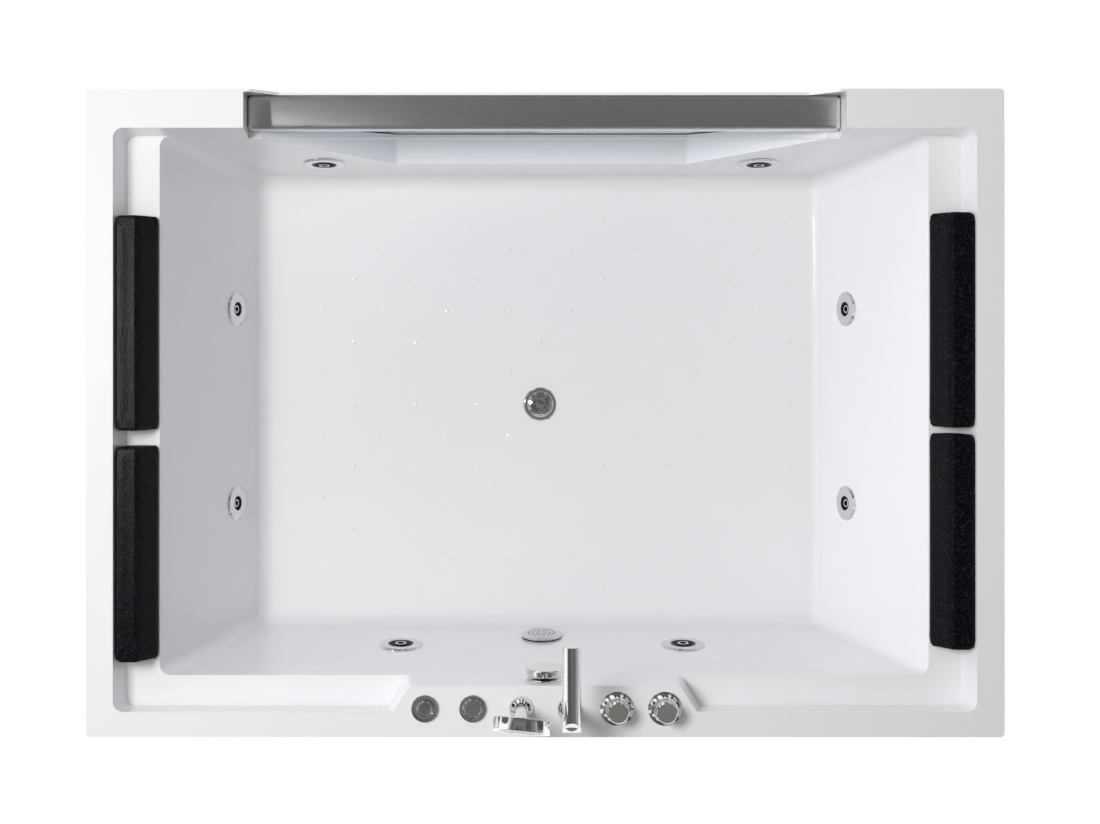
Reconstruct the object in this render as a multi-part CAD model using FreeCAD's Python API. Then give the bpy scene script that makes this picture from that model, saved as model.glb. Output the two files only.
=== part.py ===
"""Two-person jetted bathtub with a window in its front, a tap deck and four headrests.

Millimetres. +Z is up, +X runs along the tub, the window faces +Y and the taps stand at -Y.
The origin is on the floor below the middle of the tub.
"""
import FreeCAD, Part
import math
import os
from FreeCAD import Vector

# The tub: outside, rim and moulded wall.
LENGTH = 1700.0
WIDTH = 1200.0
RIM_Z = 600.0
WALL = 6.0
RIM_CORNER = 8.0
LIP_DROP = 40.0
FRONT_LIP_DROP = 110.0

# The basin: half sizes at the floor and where the ledge or the rim cuts it.
FLOOR_Z = 170.0
LEDGE_DEPTH = 65.0
FLOOR_HALF = 571.0
LEDGE_HALF = 723.0
FLOOR_FRONT = 466.0
RIM_FRONT = 527.0
FLOOR_TAP = 448.0
RIM_TAP = 504.5
FLOOR_CORNER = 30.0
BASIN_CORNER = 20.0
FLOOR_FILLET = 35.0

# The recessed ledge round three sides, and the tap deck that stands into it at rim height.
POCKET_LEDGE_HALF = 784.0
POCKET_RIM_HALF = 799.0
POCKET_TAP = 553.0
POCKET_CORNER = 18.0
DECK_FRONT_HALF = 250.0
DECK_BACK_HALF = 281.0
DECK_DRAFT = 0.2
DECK_CORNER = 12.0

# The window: an opening wider at its top, its glass, and the capping rail over it.
SILL_RISE = 130.0
SILL_HALF = 290.0
SHELF_DROP = 88.0
SHELF_HALF = 535.0
WINDOW_CORNER = 12.0
FLANGE_Y = 543.0
FLANGE_LAP = 22.0
GASKET = 3.0
GLASS = 10.0
GLASS_LAP = 18.0
TRIM = 4.0
SLEEVE = 3.0
RAIL_HALF = 557.5
RAIL_DROP = 60.0
RAIL_BACK_Y = 528.5
RAIL_WALL = 2.5
RAMP_TOP_HALF = 547.0
RAMP_FOOT_HALF = 498.0

# Clearances between pieces.
SEAT_GAP = 0.3
SLIDE_GAP = 0.3
HOLE_GAP = 0.5

# The welded frame, its feet, the board under the basin and the skirts.
TUBE = 30.0
POST = 25.0
TUBE_WALL = 2.0
BOARD = 18.0
BOARD_MARGIN = 40.0
BOARD_CORNER = 12.0
INNER_RAIL_TAP = -330.0
INNER_RAIL_FRONT = 345.0
CROSS_RAIL_X = 660.0
POST_FRONT_X = 620.0
POST_BACK_X = 330.0
FOOT_X = 330.0
FOOT_Y = 530.0
STUD_R = 6.0
PAD_R = 30.0
PAD_HEIGHT = 12.0
STUD_HEX = 19.0
STUD_HEX_HEIGHT = 10.0
SKIRT = 4.0
SKIRT_INSET = 1.0
SKIRT_BOTTOM = 12.0
SKIRT_RETURN = 20.0
SCREW_R = 2.0
SCREW_HEAD_R = 4.5
SCREW_LENGTH = 14.0
SCREW_STEP_FRONT = 350.0
SCREW_STEP_END = 480.0

# The jets: flange, dish, tilting eyeball and the barrel behind the wall.
END_JET_Y = 195.0
END_JET_RISE = 100.0
FRONT_JET_X = 433.0
FRONT_JET_RISE = 135.0
TAP_JET_X = 279.0
TAP_JET_RISE = 167.0
END_JET_R = 34.5
WIDE_JET_R = 43.0
END_DISH_R = 14.5
WIDE_DISH_R = 25.0
END_BALL_R = 11.0
WIDE_BALL_R = 15.0
JET_FLANGE = 3.5
JET_BALL_DEPTH = 12.0
SOCKET_MOUTH = 0.9
NOZZLE_SPOUT = 0.72
NOZZLE_BORE = 0.5
NOZZLE_LIP = 2.0
BARREL_R = 25.0
BARREL_BORE_R = 10.0
BARREL_LENGTH = 60.0
BARREL_BACK = 4.0
JET_NUT_R = 34.0
JET_NUT_HEIGHT = 10.0

# Water and air pipes behind the walls.
WATER_R = 14.0
WATER_RISE = 30.0
WATER_END_X = 648.0
WATER_FRONT_Y = 527.0
WATER_TAP_Y = -512.0
WATER_PORT_R = 11.0
AIR_R = 5.0
AIR_DROP = 5.0
AIR_END_X = 625.0
AIR_FRONT_Y = 503.0
AIR_TAP_Y = -488.0
PIPE_START_X = 232.0
PIPE_BEND = 60.0
PIPE_WALL = 2.0
PORT_LENGTH = 8.0

# Suction fitting, drain, overflow and trap.
SUCTION_RISE = 110.0
SUCTION_R = 41.0
SUCTION_COVER = 6.0
GRILLE_RING_STEP = 8.5
GRILLE_HOLE_R = 2.2
SUCTION_TAIL_R = 30.0
SUCTION_TAIL = 46.0
SUCTION_CUP = 3.0
SUCTION_PIPE_R = 17.0
SUCTION_PIPE_Y = -495.0
SUCTION_RAIL_GAP = 4.0
SUCTION_BEND = 42.0
DRAIN_R = 35.0
DRAIN_FLANGE = 3.0
DRAIN_TAIL_R = 26.0
DRAIN_TAIL = 36.0
DRAIN_BORE_R = 22.0
PLUG_GUIDE = 18.0
GUIDE_THICK = 4.0
GUIDE_ARM = 3.0
PLUG_R = 26.5
PLUG_EDGE = 3.0
PLUG_CROWN = 5.0
PLUG_STEM_R = 4.0
PLUG_TRAVEL = 10.0
TRAP_R = 33.0
TRAP_BOTTOM = 24.0
WASTE_R = 18.0
SPIGOT_R = 20.0
SPIGOT = 50.0
WASTE_Z = 50.0
WASTE_X = -90.0
WASTE_END_Y = -590.0
OVERFLOW_DROP = 48.0
OVERFLOW_PLATE_R = 36.5
OVERFLOW_PLATE = 4.0
OVERFLOW_KNOB_R = 35.0
OVERFLOW_KNOB = 13.0
OVERFLOW_GAP = 5.0
OVERFLOW_SHAFT_R = 6.0
OVERFLOW_BODY_R = 24.0
OVERFLOW_BORE = 22.0
GRUB_R = 2.0
OVERFLOW_PIPE_Y = -532.0
OVERFLOW_PIPE_R = 18.0
OVERFLOW_RUN_Z = 85.0
CABLE_R = 3.5
CABLE_AIM = math.radians(70.0)
CABLE_BEND = 18.0

# The pump under the right end.
PUMP_X = 752.0
PUMP_FRONT_Y = -400.0
VOLUTE_R = 75.0
VOLUTE_LENGTH = 62.0
VOLUTE_LIFT = 5.0
INLET_LENGTH = 20.0
MOTOR_R = 62.0
MOTOR_LENGTH = 205.0
MOTOR_FIN = 5.0
MOTOR_FINS = 16
FIN_THICK = 3.0
MOTOR_NECK = 20.0
FAN_COVER = 42.0
TERMINAL_BOX = 75.0
TERMINAL_RISE = 28.0
SADDLE = 20.0
SADDLE_HALF = 45.0
PUMP_MARGIN = 10.0
PUMP_PLATE = 6.0
GLAND_R = 8.0
PUMP_OUTLET_Y = -365.0

# The fittings on the tap deck, in a line at one spacing.
TAP_LINE_Y = -547.0
TAP_SPACING = 88.8
BUTTON_FLANGE_R = 25.5
BUTTON_R = 14.0
BUTTON_TRAVEL = 4.0
CONTROL_DEPTH = 8.0
DIAL_R = 18.5
DIAL_BUMP_R = 1.8
FLANGE_HEIGHT = 4.0
SHANK_R = 17.0
SHANK_LENGTH = 46.0
VALVE_SKIRT_R = 31.5
VALVE_SKIRT = 12.0
VALVE_STUB = 18.0
TAIL_R = 10.3
TAIL_LENGTH = 30.0
KNOB_R = 19.2
KNOB_TOP = 49.0
STUB_SHARE = 0.4
GROOVE = 0.8
HOLDER_R = 23.0
HOLDER_HEIGHT = 16.0
HOLDER_COLLAR_R = 13.0
HOLDER_BORE_R = 10.3
HANDLE_R = 10.0
HANDLE_SWELL = 1.5
HANDLE_SEAT = 30.0
HEAD_R = 51.0
HEAD_THICK = 24.0
HEAD_Z = 167.0
HEAD_TILT = 14.0
HEAD_YAW = 6.0
SPOUT_R = 22.5
SPOUT_BASE = 12.0
RISER_R = 13.0
RISER_TAIL_R = 10.0
SPOUT_Z = 140.0
SPOUT_WIDTH = 33.0
SPOUT_THICK = 20.0
SPOUT_SIDE = 7.0
SPOUT_BACK_Y = -564.0
SPOUT_TIP_Y = -411.0
OUTLET_R = 8.0
OUTLET_DEPTH = 9.0

# The headrests: length, the y of each one's middle, and the section's corner points.
REST_LENGTH = 399.0
REST_LEFT_Y = (166.0, -263.0)
REST_RIGHT_Y = (172.0, -240.0)
REST_CREASE = 756.0
REST_INNER = 724.0
REST_RISE = 3.0
REST_EDGE = 8.0
REST_CLEAR = 1.0

# Heights and faces that follow from the sizes above: rises are above the basin's floor, drops
# below the rim, or for the air pipes below the floor.
LEDGE_Z = RIM_Z - LEDGE_DEPTH
SHELF_Z = RIM_Z - SHELF_DROP
RAIL_TOP_Z = RIM_Z - RAIL_DROP
SILL_Z = FLOOR_Z + SILL_RISE
END_JET_Z = FLOOR_Z + END_JET_RISE
FRONT_JET_Z = FLOOR_Z + FRONT_JET_RISE
TAP_JET_Z = FLOOR_Z + TAP_JET_RISE
WATER_Z = FLOOR_Z + WATER_RISE
AIR_Z = FLOOR_Z - AIR_DROP
SUCTION_Z = FLOOR_Z + SUCTION_RISE
OVERFLOW_Z = RIM_Z - OVERFLOW_DROP
HALF_LENGTH = LENGTH / 2
HALF_WIDTH = WIDTH / 2
ABOVE = 40.0
UNDER_FLOOR = FLOOR_Z - WALL
TUBE_TOP = UNDER_FLOOR - BOARD
TUBE_MID = TUBE_TOP - TUBE / 2
SKIRT_OUT_X = HALF_LENGTH - SKIRT_INSET
SKIRT_OUT_Y = HALF_WIDTH - SKIRT_INSET
END_RAIL_X = SKIRT_OUT_X - SKIRT - SEAT_GAP - TUBE / 2
SIDE_RAIL_Y = SKIRT_OUT_Y - SKIRT - SEAT_GAP - TUBE / 2
GLASS_Y = FLANGE_Y + GASKET
TRIM_Y = GLASS_Y + GLASS
TAP_X = [TAP_SPACING * step for step in (-2.5, -1.5, -0.5, 0.5, 1.5, 2.5)]
PUMP_Z = TUBE_TOP + PUMP_PLATE + VOLUTE_R + VOLUTE_LIFT
SUCTION_RUN_Z = TUBE_TOP - TUBE - SUCTION_PIPE_R - SUCTION_RAIL_GAP
X = Vector(1, 0, 0)
Y = Vector(0, 1, 0)
Z = Vector(0, 0, 1)


def save(name, *solids):
    """Writes one node; a group of like solids becomes a compound."""
    shape = solids[0] if len(solids) == 1 else Part.makeCompound(list(solids))
    shape.exportStep("parts/" + name + ".step")


def block(x0, x1, y0, y1, z0, z1):
    return Part.makeBox(x1 - x0, y1 - y0, z1 - z0, Vector(x0, y0, z0))


def rod(radius, start, end):
    along = end - start
    return Part.makeCylinder(radius, along.Length, start, along)


def hollow_rod(radius, bore, start, end):
    return rod(radius, start, end).cut(rod(bore, start, end))


def fused(shapes):
    return shapes[0].multiFuse(shapes[1:]).removeSplitter().Solids[0]


def turned(points):
    """Solid of revolution round local Z from (radius, height) points."""
    corners = [Vector(radius, 0, height) for radius, height in points]
    profile = Part.makePolygon(corners + corners[:1])
    return Part.Face(profile).revolve(Vector(), Z, 360)


def placed(shape, point, up, across):
    """Moves a shape from the origin to a point, its local Z along up and its X along across."""
    shape = shape.copy()
    turn = FreeCAD.Rotation(across, up.cross(across), up, "ZXY")
    shape.Placement = FreeCAD.Placement(point, turn)
    return shape


def rounded(points, radii):
    """Closed wire through corner points, each corner an arc of its own radius."""
    corners = []
    for index, point in enumerate(points):
        to_last = (points[index - 1] - point).normalize()
        to_next = (points[(index + 1) % len(points)] - point).normalize()
        radius = radii[index]
        half = to_last.getAngle(to_next) / 2
        reach = radius / math.tan(half)
        middle = (to_last + to_next).normalize()
        bulge = middle * (radius / math.sin(half) - radius)
        corners.append((point + to_last * reach, point + bulge, point + to_next * reach))
    edges = []
    for index, (start, top, end) in enumerate(corners):
        if radii[index] > 0:
            edges.append(Part.Arc(start, top, end).toShape())
        edges.append(Part.makeLine(end, corners[(index + 1) % len(corners)][0]))
    return Part.Wire(edges)


def rectangle(x0, x1, y0, y1, z, corner):
    points = [Vector(x0, y0, z), Vector(x1, y0, z), Vector(x1, y1, z), Vector(x0, y1, z)]
    return rounded(points, [corner] * 4)


def slab(x0, x1, y0, y1, z0, z1, corner):
    wire = rectangle(x0, x1, y0, y1, z0, corner)
    return Part.Face(wire).extrude(Z * (z1 - z0))


def slanted(z, low_z, low, high_z, high, grow):
    """Distance of a slanted wall from the middle at height z, moved out by grow."""
    slope = (high - low) / (high_z - low_z)
    return low + slope * (z - low_z) + grow * math.hypot(1, slope)


def end_wall(z, grow=0.0):
    return slanted(z, FLOOR_Z, FLOOR_HALF, LEDGE_Z, LEDGE_HALF, grow)


def front_wall(z, grow=0.0):
    return slanted(z, FLOOR_Z, FLOOR_FRONT, RIM_Z, RIM_FRONT, grow)


def tap_wall(z, grow=0.0):
    return -slanted(z, FLOOR_Z, FLOOR_TAP, RIM_Z, RIM_TAP, grow)


def window_side(z, grow=0.0):
    return slanted(z, SILL_Z, SILL_HALF, SHELF_Z, SHELF_HALF, grow)


def basin(grow):
    wires = []
    for z, corner in ((FLOOR_Z - grow, FLOOR_CORNER), (LEDGE_Z - grow, BASIN_CORNER)):
        side = end_wall(z, grow)
        wires.append(rectangle(-side, side, tap_wall(z, grow), front_wall(z, grow), z, corner + grow))
    return Part.makeLoft(wires, True, True)


def pocket(grow):
    wires = []
    for z in (LEDGE_Z - grow, RIM_Z + ABOVE):
        side = slanted(z, LEDGE_Z, POCKET_LEDGE_HALF, RIM_Z, POCKET_RIM_HALF, grow)
        corner = POCKET_CORNER + grow
        wires.append(rectangle(-side, side, -POCKET_TAP - grow, front_wall(z, grow), z, corner))
    return Part.makeLoft(wires, True, True)


def deck(grow):
    """The raised tap deck that the pocket goes round, as a solid to take away from the pocket."""
    splay = (DECK_BACK_HALF - DECK_FRONT_HALF) / (POCKET_TAP - RIM_TAP)
    back = -POCKET_TAP - ABOVE
    wires = []
    for z in (LEDGE_Z - grow, RIM_Z + ABOVE):
        front = tap_wall(z, grow)
        side = DECK_FRONT_HALF + (RIM_Z - z) * DECK_DRAFT - grow * math.hypot(1, splay)
        half_front = side + splay * (-RIM_TAP - front)
        half_back = side + splay * (-RIM_TAP - back)
        points = [Vector(-half_back, back, z), Vector(half_back, back, z)]
        points += [Vector(half_front, front, z), Vector(-half_front, front, z)]
        wires.append(rounded(points, [0, 0, DECK_CORNER - grow, DECK_CORNER - grow]))
    return Part.makeLoft(wires, True, True)


def window_prism(top, grow, y0, y1):
    """Prism of the window's outline, grown on its sill and sides, between two y faces."""
    low = SILL_Z - grow
    points = [Vector(-window_side(low, grow), y0, low), Vector(window_side(low, grow), y0, low)]
    points += [Vector(window_side(top, grow), y0, top), Vector(-window_side(top, grow), y0, top)]
    corner = WINDOW_CORNER + grow
    wire = rounded(points, [corner, corner, 0, 0])
    return Part.Face(wire).extrude(Y * (y1 - y0))


def hollow(grow):
    """The space inside the tub, or with grow the same space with the wall's thickness round it."""
    solid = fused([basin(grow), pocket(grow).cut(deck(grow))])
    bottom = FLOOR_Z - grow
    floor_edges = [edge for edge in solid.Edges if edge.BoundBox.ZMax < bottom + WALL / 2]
    return solid.makeFillet(FLOOR_FILLET + grow, floor_edges)


def rail_seat(grow):
    """The trough in the rim that the capping rail lies in."""
    side = RAIL_HALF + HOLE_GAP + grow
    return block(-side, side, RIM_FRONT - 2 * WALL, HALF_WIDTH - WALL, SHELF_Z - grow, RIM_Z + ABOVE)


def perimeter():
    """Flat rim, turned-down lip, and the deeper lip in front with its dip below the rail."""
    rim = slab(-HALF_LENGTH, HALF_LENGTH, -HALF_WIDTH, HALF_WIDTH, RIM_Z - LIP_DROP, RIM_Z, RIM_CORNER)
    inside = block(-HALF_LENGTH + WALL, HALF_LENGTH - WALL, -HALF_WIDTH + WALL, HALF_WIDTH - WALL,
                   RIM_Z - 2 * LIP_DROP, RIM_Z - WALL)
    apron = block(-HALF_LENGTH + RIM_CORNER, HALF_LENGTH - RIM_CORNER, HALF_WIDTH - WALL, HALF_WIDTH,
                  RIM_Z - FRONT_LIP_DROP, RIM_Z)
    points = [Vector(-RAMP_FOOT_HALF, 0, RAIL_TOP_Z), Vector(RAMP_FOOT_HALF, 0, RAIL_TOP_Z),
              Vector(RAMP_TOP_HALF, 0, RIM_Z), Vector(RAMP_TOP_HALF, 0, RIM_Z + ABOVE),
              Vector(-RAMP_TOP_HALF, 0, RIM_Z + ABOVE), Vector(-RAMP_TOP_HALF, 0, RIM_Z)]
    dip = Part.Face(Part.makePolygon(points + points[:1])).extrude(Y * 2 * HALF_WIDTH)
    dip = dip.common(block(-HALF_LENGTH, HALF_LENGTH, HALF_WIDTH - 2 * WALL, WIDTH, 0, 2 * RIM_Z))
    return rim.cut(inside).fuse(apron), dip


def wall_place(side, along, z):
    """Point, inward normal and level direction on a wall: left, right, front or tap."""
    end_lean = (LEDGE_HALF - FLOOR_HALF) / (LEDGE_Z - FLOOR_Z)
    front_lean = (RIM_FRONT - FLOOR_FRONT) / (RIM_Z - FLOOR_Z)
    tap_lean = (RIM_TAP - FLOOR_TAP) / (RIM_Z - FLOOR_Z)
    places = {
        "left": (Vector(-end_wall(z), along, z), Vector(1, 0, end_lean), Y),
        "right": (Vector(end_wall(z), along, z), Vector(-1, 0, end_lean), -Y),
        "front": (Vector(along, front_wall(z), z), Vector(0, -1, front_lean), X),
        "tap": (Vector(along, tap_wall(z), z), Vector(0, 1, tap_lean), -X),
    }
    point, normal, level = places[side]
    return point, normal.normalize(), level


def jet_list():
    """Side, place along it, height, flange, dish and eyeball radius of the eight jets."""
    jets = []
    for side in ("left", "right"):
        for along in (END_JET_Y, -END_JET_Y):
            jets.append((side, along, END_JET_Z, END_JET_R, END_DISH_R, END_BALL_R))
    for side, along, z in (("front", FRONT_JET_X, FRONT_JET_Z), ("tap", TAP_JET_X, TAP_JET_Z)):
        for sign in (-1, 1):
            jets.append((side, sign * along, z, WIDE_JET_R, WIDE_DISH_R, WIDE_BALL_R))
    return jets


def wall_hole(side, along, z, radius):
    point, normal, level = wall_place(side, along, z)
    return rod(radius + HOLE_GAP, point - normal * 3 * WALL, point + normal * 3 * WALL)


def tub_shell():
    rim, dip = perimeter()
    flange = window_prism(SHELF_Z, FLANGE_LAP, FLANGE_Y - WALL, FLANGE_Y)
    outside = [rim, hollow(WALL), rail_seat(WALL), flange]
    outside.append(window_prism(SHELF_Z, WALL, FLOOR_FRONT, FLANGE_Y))
    shell = outside[0].multiFuse(outside[1:])
    shell = shell.cut(block(-LENGTH, LENGTH, -WIDTH, WIDTH, RIM_Z, RIM_Z + 2 * ABOVE))
    cuts = [hollow(0), rail_seat(0), dip, window_prism(SHELF_Z, 0, FLOOR_FRONT, FLANGE_Y + WALL)]
    cuts.append(block(-SHELF_HALF, SHELF_HALF, FLANGE_Y - WALL, TRIM_Y + TRIM + WALL / 3,
                      SHELF_Z - 2 * WALL, SHELF_Z + WALL))
    for side, along, z, flange_r, dish_r, ball_r in jet_list():
        cuts.append(wall_hole(side, along, z, BARREL_R))
    cuts.append(wall_hole("tap", 0, SUCTION_Z, SUCTION_TAIL_R))
    cuts.append(wall_hole("tap", 0, OVERFLOW_Z, OVERFLOW_BODY_R))
    cuts.append(rod(DRAIN_TAIL_R + HOLE_GAP, Vector(0, 0, FLOOR_Z - 2 * WALL), Vector(0, 0, FLOOR_Z + WALL)))
    for x in TAP_X:
        hole = Vector(x, TAP_LINE_Y, RIM_Z - 2 * WALL)
        cuts.append(rod(SHANK_R + HOLE_GAP, hole, hole + Z * 3 * WALL))
    return fused([shell.cut(cuts)])


def floor_board():
    """Two boards across the frame, with a gap between them for the trap."""
    side = FLOOR_HALF - BOARD_MARGIN
    gap = TRAP_R + 2 * HOLE_GAP
    back, front = -FLOOR_TAP + BOARD_MARGIN, FLOOR_FRONT - BOARD_MARGIN
    return [slab(-side, -gap, back, front, TUBE_TOP, UNDER_FLOOR, BOARD_CORNER),
            slab(gap, side, back, front, TUBE_TOP, UNDER_FLOOR, BOARD_CORNER)]


def frame_tube(start, end):
    """Level square tube, open at both ends."""
    half = TUBE / 2
    inner = half - TUBE_WALL
    along = end - start
    length = along.Length
    tube = block(-half, half, -half, half, 0, length).cut(block(-inner, inner, -inner, inner, 0, length))
    return placed(tube, start, along.normalize(), Z)


def frame_rails():
    """Welded frame: four tubes along the tub and cross tubes cut to fit between them."""
    rows = (-SIDE_RAIL_Y, INNER_RAIL_TAP, INNER_RAIL_FRONT, SIDE_RAIL_Y)
    reach = END_RAIL_X + TUBE / 2
    tubes = [frame_tube(Vector(-reach, y, TUBE_MID), Vector(reach, y, TUBE_MID)) for y in rows]
    for x in (-END_RAIL_X, -CROSS_RAIL_X, CROSS_RAIL_X, END_RAIL_X):
        for low, high in zip(rows, rows[1:]):
            start = Vector(x, low + TUBE / 2, TUBE_MID)
            tubes.append(frame_tube(start, Vector(x, high - TUBE / 2, TUBE_MID)))
    return tubes


def post_places():
    corners = [(x * END_RAIL_X, y * SIDE_RAIL_Y) for x in (-1, 1) for y in (-1, 1)]
    front = [(x * POST_FRONT_X, SIDE_RAIL_Y) for x in (-1, 1)]
    back = [(x * POST_BACK_X, -SIDE_RAIL_Y) for x in (-1, 1)]
    return corners + front + back


def frame_post(x, y):
    half = POST / 2
    inner = half - TUBE_WALL
    top = RIM_Z - WALL
    tube = block(x - half, x + half, y - half, y + half, TUBE_TOP, top)
    return tube.cut(block(x - inner, x + inner, y - inner, y + inner, 0, RIM_Z))


def foot_places():
    corners = [(x * CROSS_RAIL_X, y * FOOT_Y) for x in (-1, 1) for y in (-1, 1)]
    return corners + [(x * FOOT_X, y) for x in (-1, 1) for y in (INNER_RAIL_TAP, INNER_RAIL_FRONT)]


def foot_stud(x, y):
    """Threaded stud with its hexagon below the rail; it stands in the pad's socket."""
    top = TUBE_TOP - TUBE
    shank = rod(STUD_R, Vector(x, y, PAD_HEIGHT / 2), Vector(x, y, top))
    radius = STUD_HEX / math.sqrt(3)
    corners = []
    for step in range(7):
        angle = math.radians(60 * step)
        corners.append(Vector(x + radius * math.cos(angle), y + radius * math.sin(angle),
                              top - STUD_HEX_HEIGHT))
    hexagon = Part.Face(Part.makePolygon(corners)).extrude(Z * STUD_HEX_HEIGHT)
    return fused([shank, hexagon])


def foot_pad(x, y):
    pad = turned([(0, 0), (PAD_R, 0), (PAD_R, PAD_HEIGHT / 3), (STUD_R * 2, PAD_HEIGHT), (0, PAD_HEIGHT)])
    socket = rod(STUD_R + SLIDE_GAP / 3, Vector(0, 0, PAD_HEIGHT / 2), Vector(0, 0, PAD_HEIGHT))
    return placed(pad.cut(socket), Vector(x, y, 0), Z, X)


def skirt_front():
    top = RIM_Z - FRONT_LIP_DROP - HOLE_GAP
    inner = SKIRT_OUT_Y - SKIRT
    panel = block(-SKIRT_OUT_X, SKIRT_OUT_X, inner, SKIRT_OUT_Y, SKIRT_BOTTOM, top)
    hem = block(-SKIRT_OUT_X + SKIRT_RETURN, SKIRT_OUT_X - SKIRT_RETURN, inner - SKIRT_RETURN, inner,
                SKIRT_BOTTOM, SKIRT_BOTTOM + SKIRT)
    window = window_prism(SHELF_Z, SLEEVE + HOLE_GAP, inner - SKIRT, SKIRT_OUT_Y + SKIRT)
    return fused([panel, hem]).cut(window).Solids[0]


def skirt_side(sign):
    """End panel below the rim's lip, butted behind the front panel."""
    top = RIM_Z - LIP_DROP - HOLE_GAP
    inner = SKIRT_OUT_X - SKIRT
    front = SKIRT_OUT_Y - SKIRT - SEAT_GAP
    panel = block(inner, SKIRT_OUT_X, -SKIRT_OUT_Y, front, SKIRT_BOTTOM, top)
    panel = panel.cut(block(inner - SKIRT, LENGTH, HALF_WIDTH - WALL - HOLE_GAP, WIDTH,
                            RIM_Z - FRONT_LIP_DROP - HOLE_GAP, RIM_Z))
    hem = block(inner - SKIRT_RETURN, inner, -SIDE_RAIL_Y, front - SKIRT_RETURN - SEAT_GAP,
                SKIRT_BOTTOM, SKIRT_BOTTOM + SKIRT)
    solid = fused([panel, hem])
    return solid if sign > 0 else solid.mirror(Vector(), X).Solids[0]


def screw(point, outward):
    """Raised-head screw through a skirt into the frame."""
    shape = turned([(0, -SCREW_LENGTH), (SCREW_R, -SCREW_LENGTH), (SCREW_R, 0), (SCREW_HEAD_R, 0),
                    (SCREW_HEAD_R, 0.4), (SCREW_R, SKIRT_INSET - 0.1), (0, SKIRT_INSET - 0.1)])
    across = Y if abs(outward.y) < 0.5 else X
    return placed(shape, point, outward, across)


def screw_places():
    places = []
    for step in (-2, -1, 0, 1, 2):
        places.append((Vector(step * SCREW_STEP_FRONT, SKIRT_OUT_Y, TUBE_MID), Y))
    for sign in (-1, 1):
        for step in (-1, 0, 1):
            places.append((Vector(sign * SKIRT_OUT_X, step * SCREW_STEP_END, TUBE_MID), X * sign))
    return places


def screw_hole(point, outward):
    return rod(SCREW_R + SLIDE_GAP / 3, point - outward * (SCREW_LENGTH + 1), point + outward * SKIRT)


def window_glass():
    """Pane behind the flange; above the trough's floor it is only as wide as the slot there."""
    pane = window_prism(RAIL_TOP_Z - 2 * RAIL_WALL, GLASS_LAP, GLASS_Y, TRIM_Y)
    shoulder = SHELF_Z - WALL - SEAT_GAP
    half = SHELF_HALF - HOLE_GAP
    return pane.cut([block(half, LENGTH, 0, WIDTH, shoulder, RIM_Z),
                     block(-LENGTH, -half, 0, WIDTH, shoulder, RIM_Z)])


def window_gasket():
    top = SHELF_Z - 2 * WALL
    outer = window_prism(top, GLASS_LAP, FLANGE_Y, GLASS_Y)
    return outer.cut(window_prism(SHELF_Z, 2.0, FLANGE_Y - 1, GLASS_Y + 1))


def window_frame():
    """Trim behind the skirt: a flange that holds the glass and a sleeve out to the skirt."""
    top = SHELF_Z - WALL - SEAT_GAP
    face = SKIRT_OUT_Y
    flange = window_prism(top, GLASS_LAP, TRIM_Y, TRIM_Y + TRIM)
    sleeve = window_prism(top, SLEEVE, TRIM_Y, face)
    under_lip = block(-LENGTH, LENGTH, HALF_WIDTH - WALL - SEAT_GAP, WIDTH,
                      RIM_Z - FRONT_LIP_DROP - HOLE_GAP, RIM_Z)
    opening = window_prism(top - SLEEVE, 0, TRIM_Y - 1, face + 1)
    return fused([fused([flange, sleeve]).cut([opening, under_lip])])


def window_rail():
    """Folded steel channel, open below, that the glass stands up into."""
    front = HALF_WIDTH - WALL - HOLE_GAP
    corner = 3 * RAIL_WALL
    low, top = SHELF_Z, RAIL_TOP_Z
    points = [Vector(-RAIL_HALF, RAIL_BACK_Y, low), Vector(-RAIL_HALF, front, low),
              Vector(-RAIL_HALF, front, top), Vector(-RAIL_HALF, RAIL_BACK_Y, top)]
    bar = Part.Face(rounded(points, [0, 0, corner, corner])).extrude(X * 2 * RAIL_HALF)
    inset = RAIL_WALL
    room = block(-RAIL_HALF + inset, RAIL_HALF - inset, RAIL_BACK_Y + inset, front - inset,
                 low - 1, top - inset)
    return bar.cut(room)


def ball(radius, z):
    return Part.makeSphere(radius, Vector(0, 0, z))


def jet_housing(side, along, z, flange_r, dish_r, ball_r):
    point, normal, level = wall_place(side, along, z)
    outer = turned([(0, -BARREL_LENGTH), (BARREL_R, -BARREL_LENGTH), (BARREL_R, 0), (flange_r, 0),
                    (flange_r, JET_FLANGE / 3), (flange_r - JET_FLANGE, JET_FLANGE), (0, JET_FLANGE)])
    throat = ball_r * SOCKET_MOUTH
    dish = turned([(0, -JET_BALL_DEPTH), (throat, -JET_BALL_DEPTH + ball_r * 0.4),
                   (dish_r, JET_FLANGE), (dish_r, 2 * JET_FLANGE), (0, 2 * JET_FLANGE)])
    socket = ball(ball_r + SLIDE_GAP, -JET_BALL_DEPTH)
    bore = rod(BARREL_BORE_R, Vector(0, 0, -BARREL_LENGTH + BARREL_BACK), Vector(0, 0, -JET_BALL_DEPTH))
    ports = [rod(radius, bottom, top) for radius, top, bottom in jet_ports(side, along, z)]
    body = fused([placed(outer, point, normal, level)] + ports)
    return body.cut([placed(room, point, normal, level) for room in (dish, socket, bore)])


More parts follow.
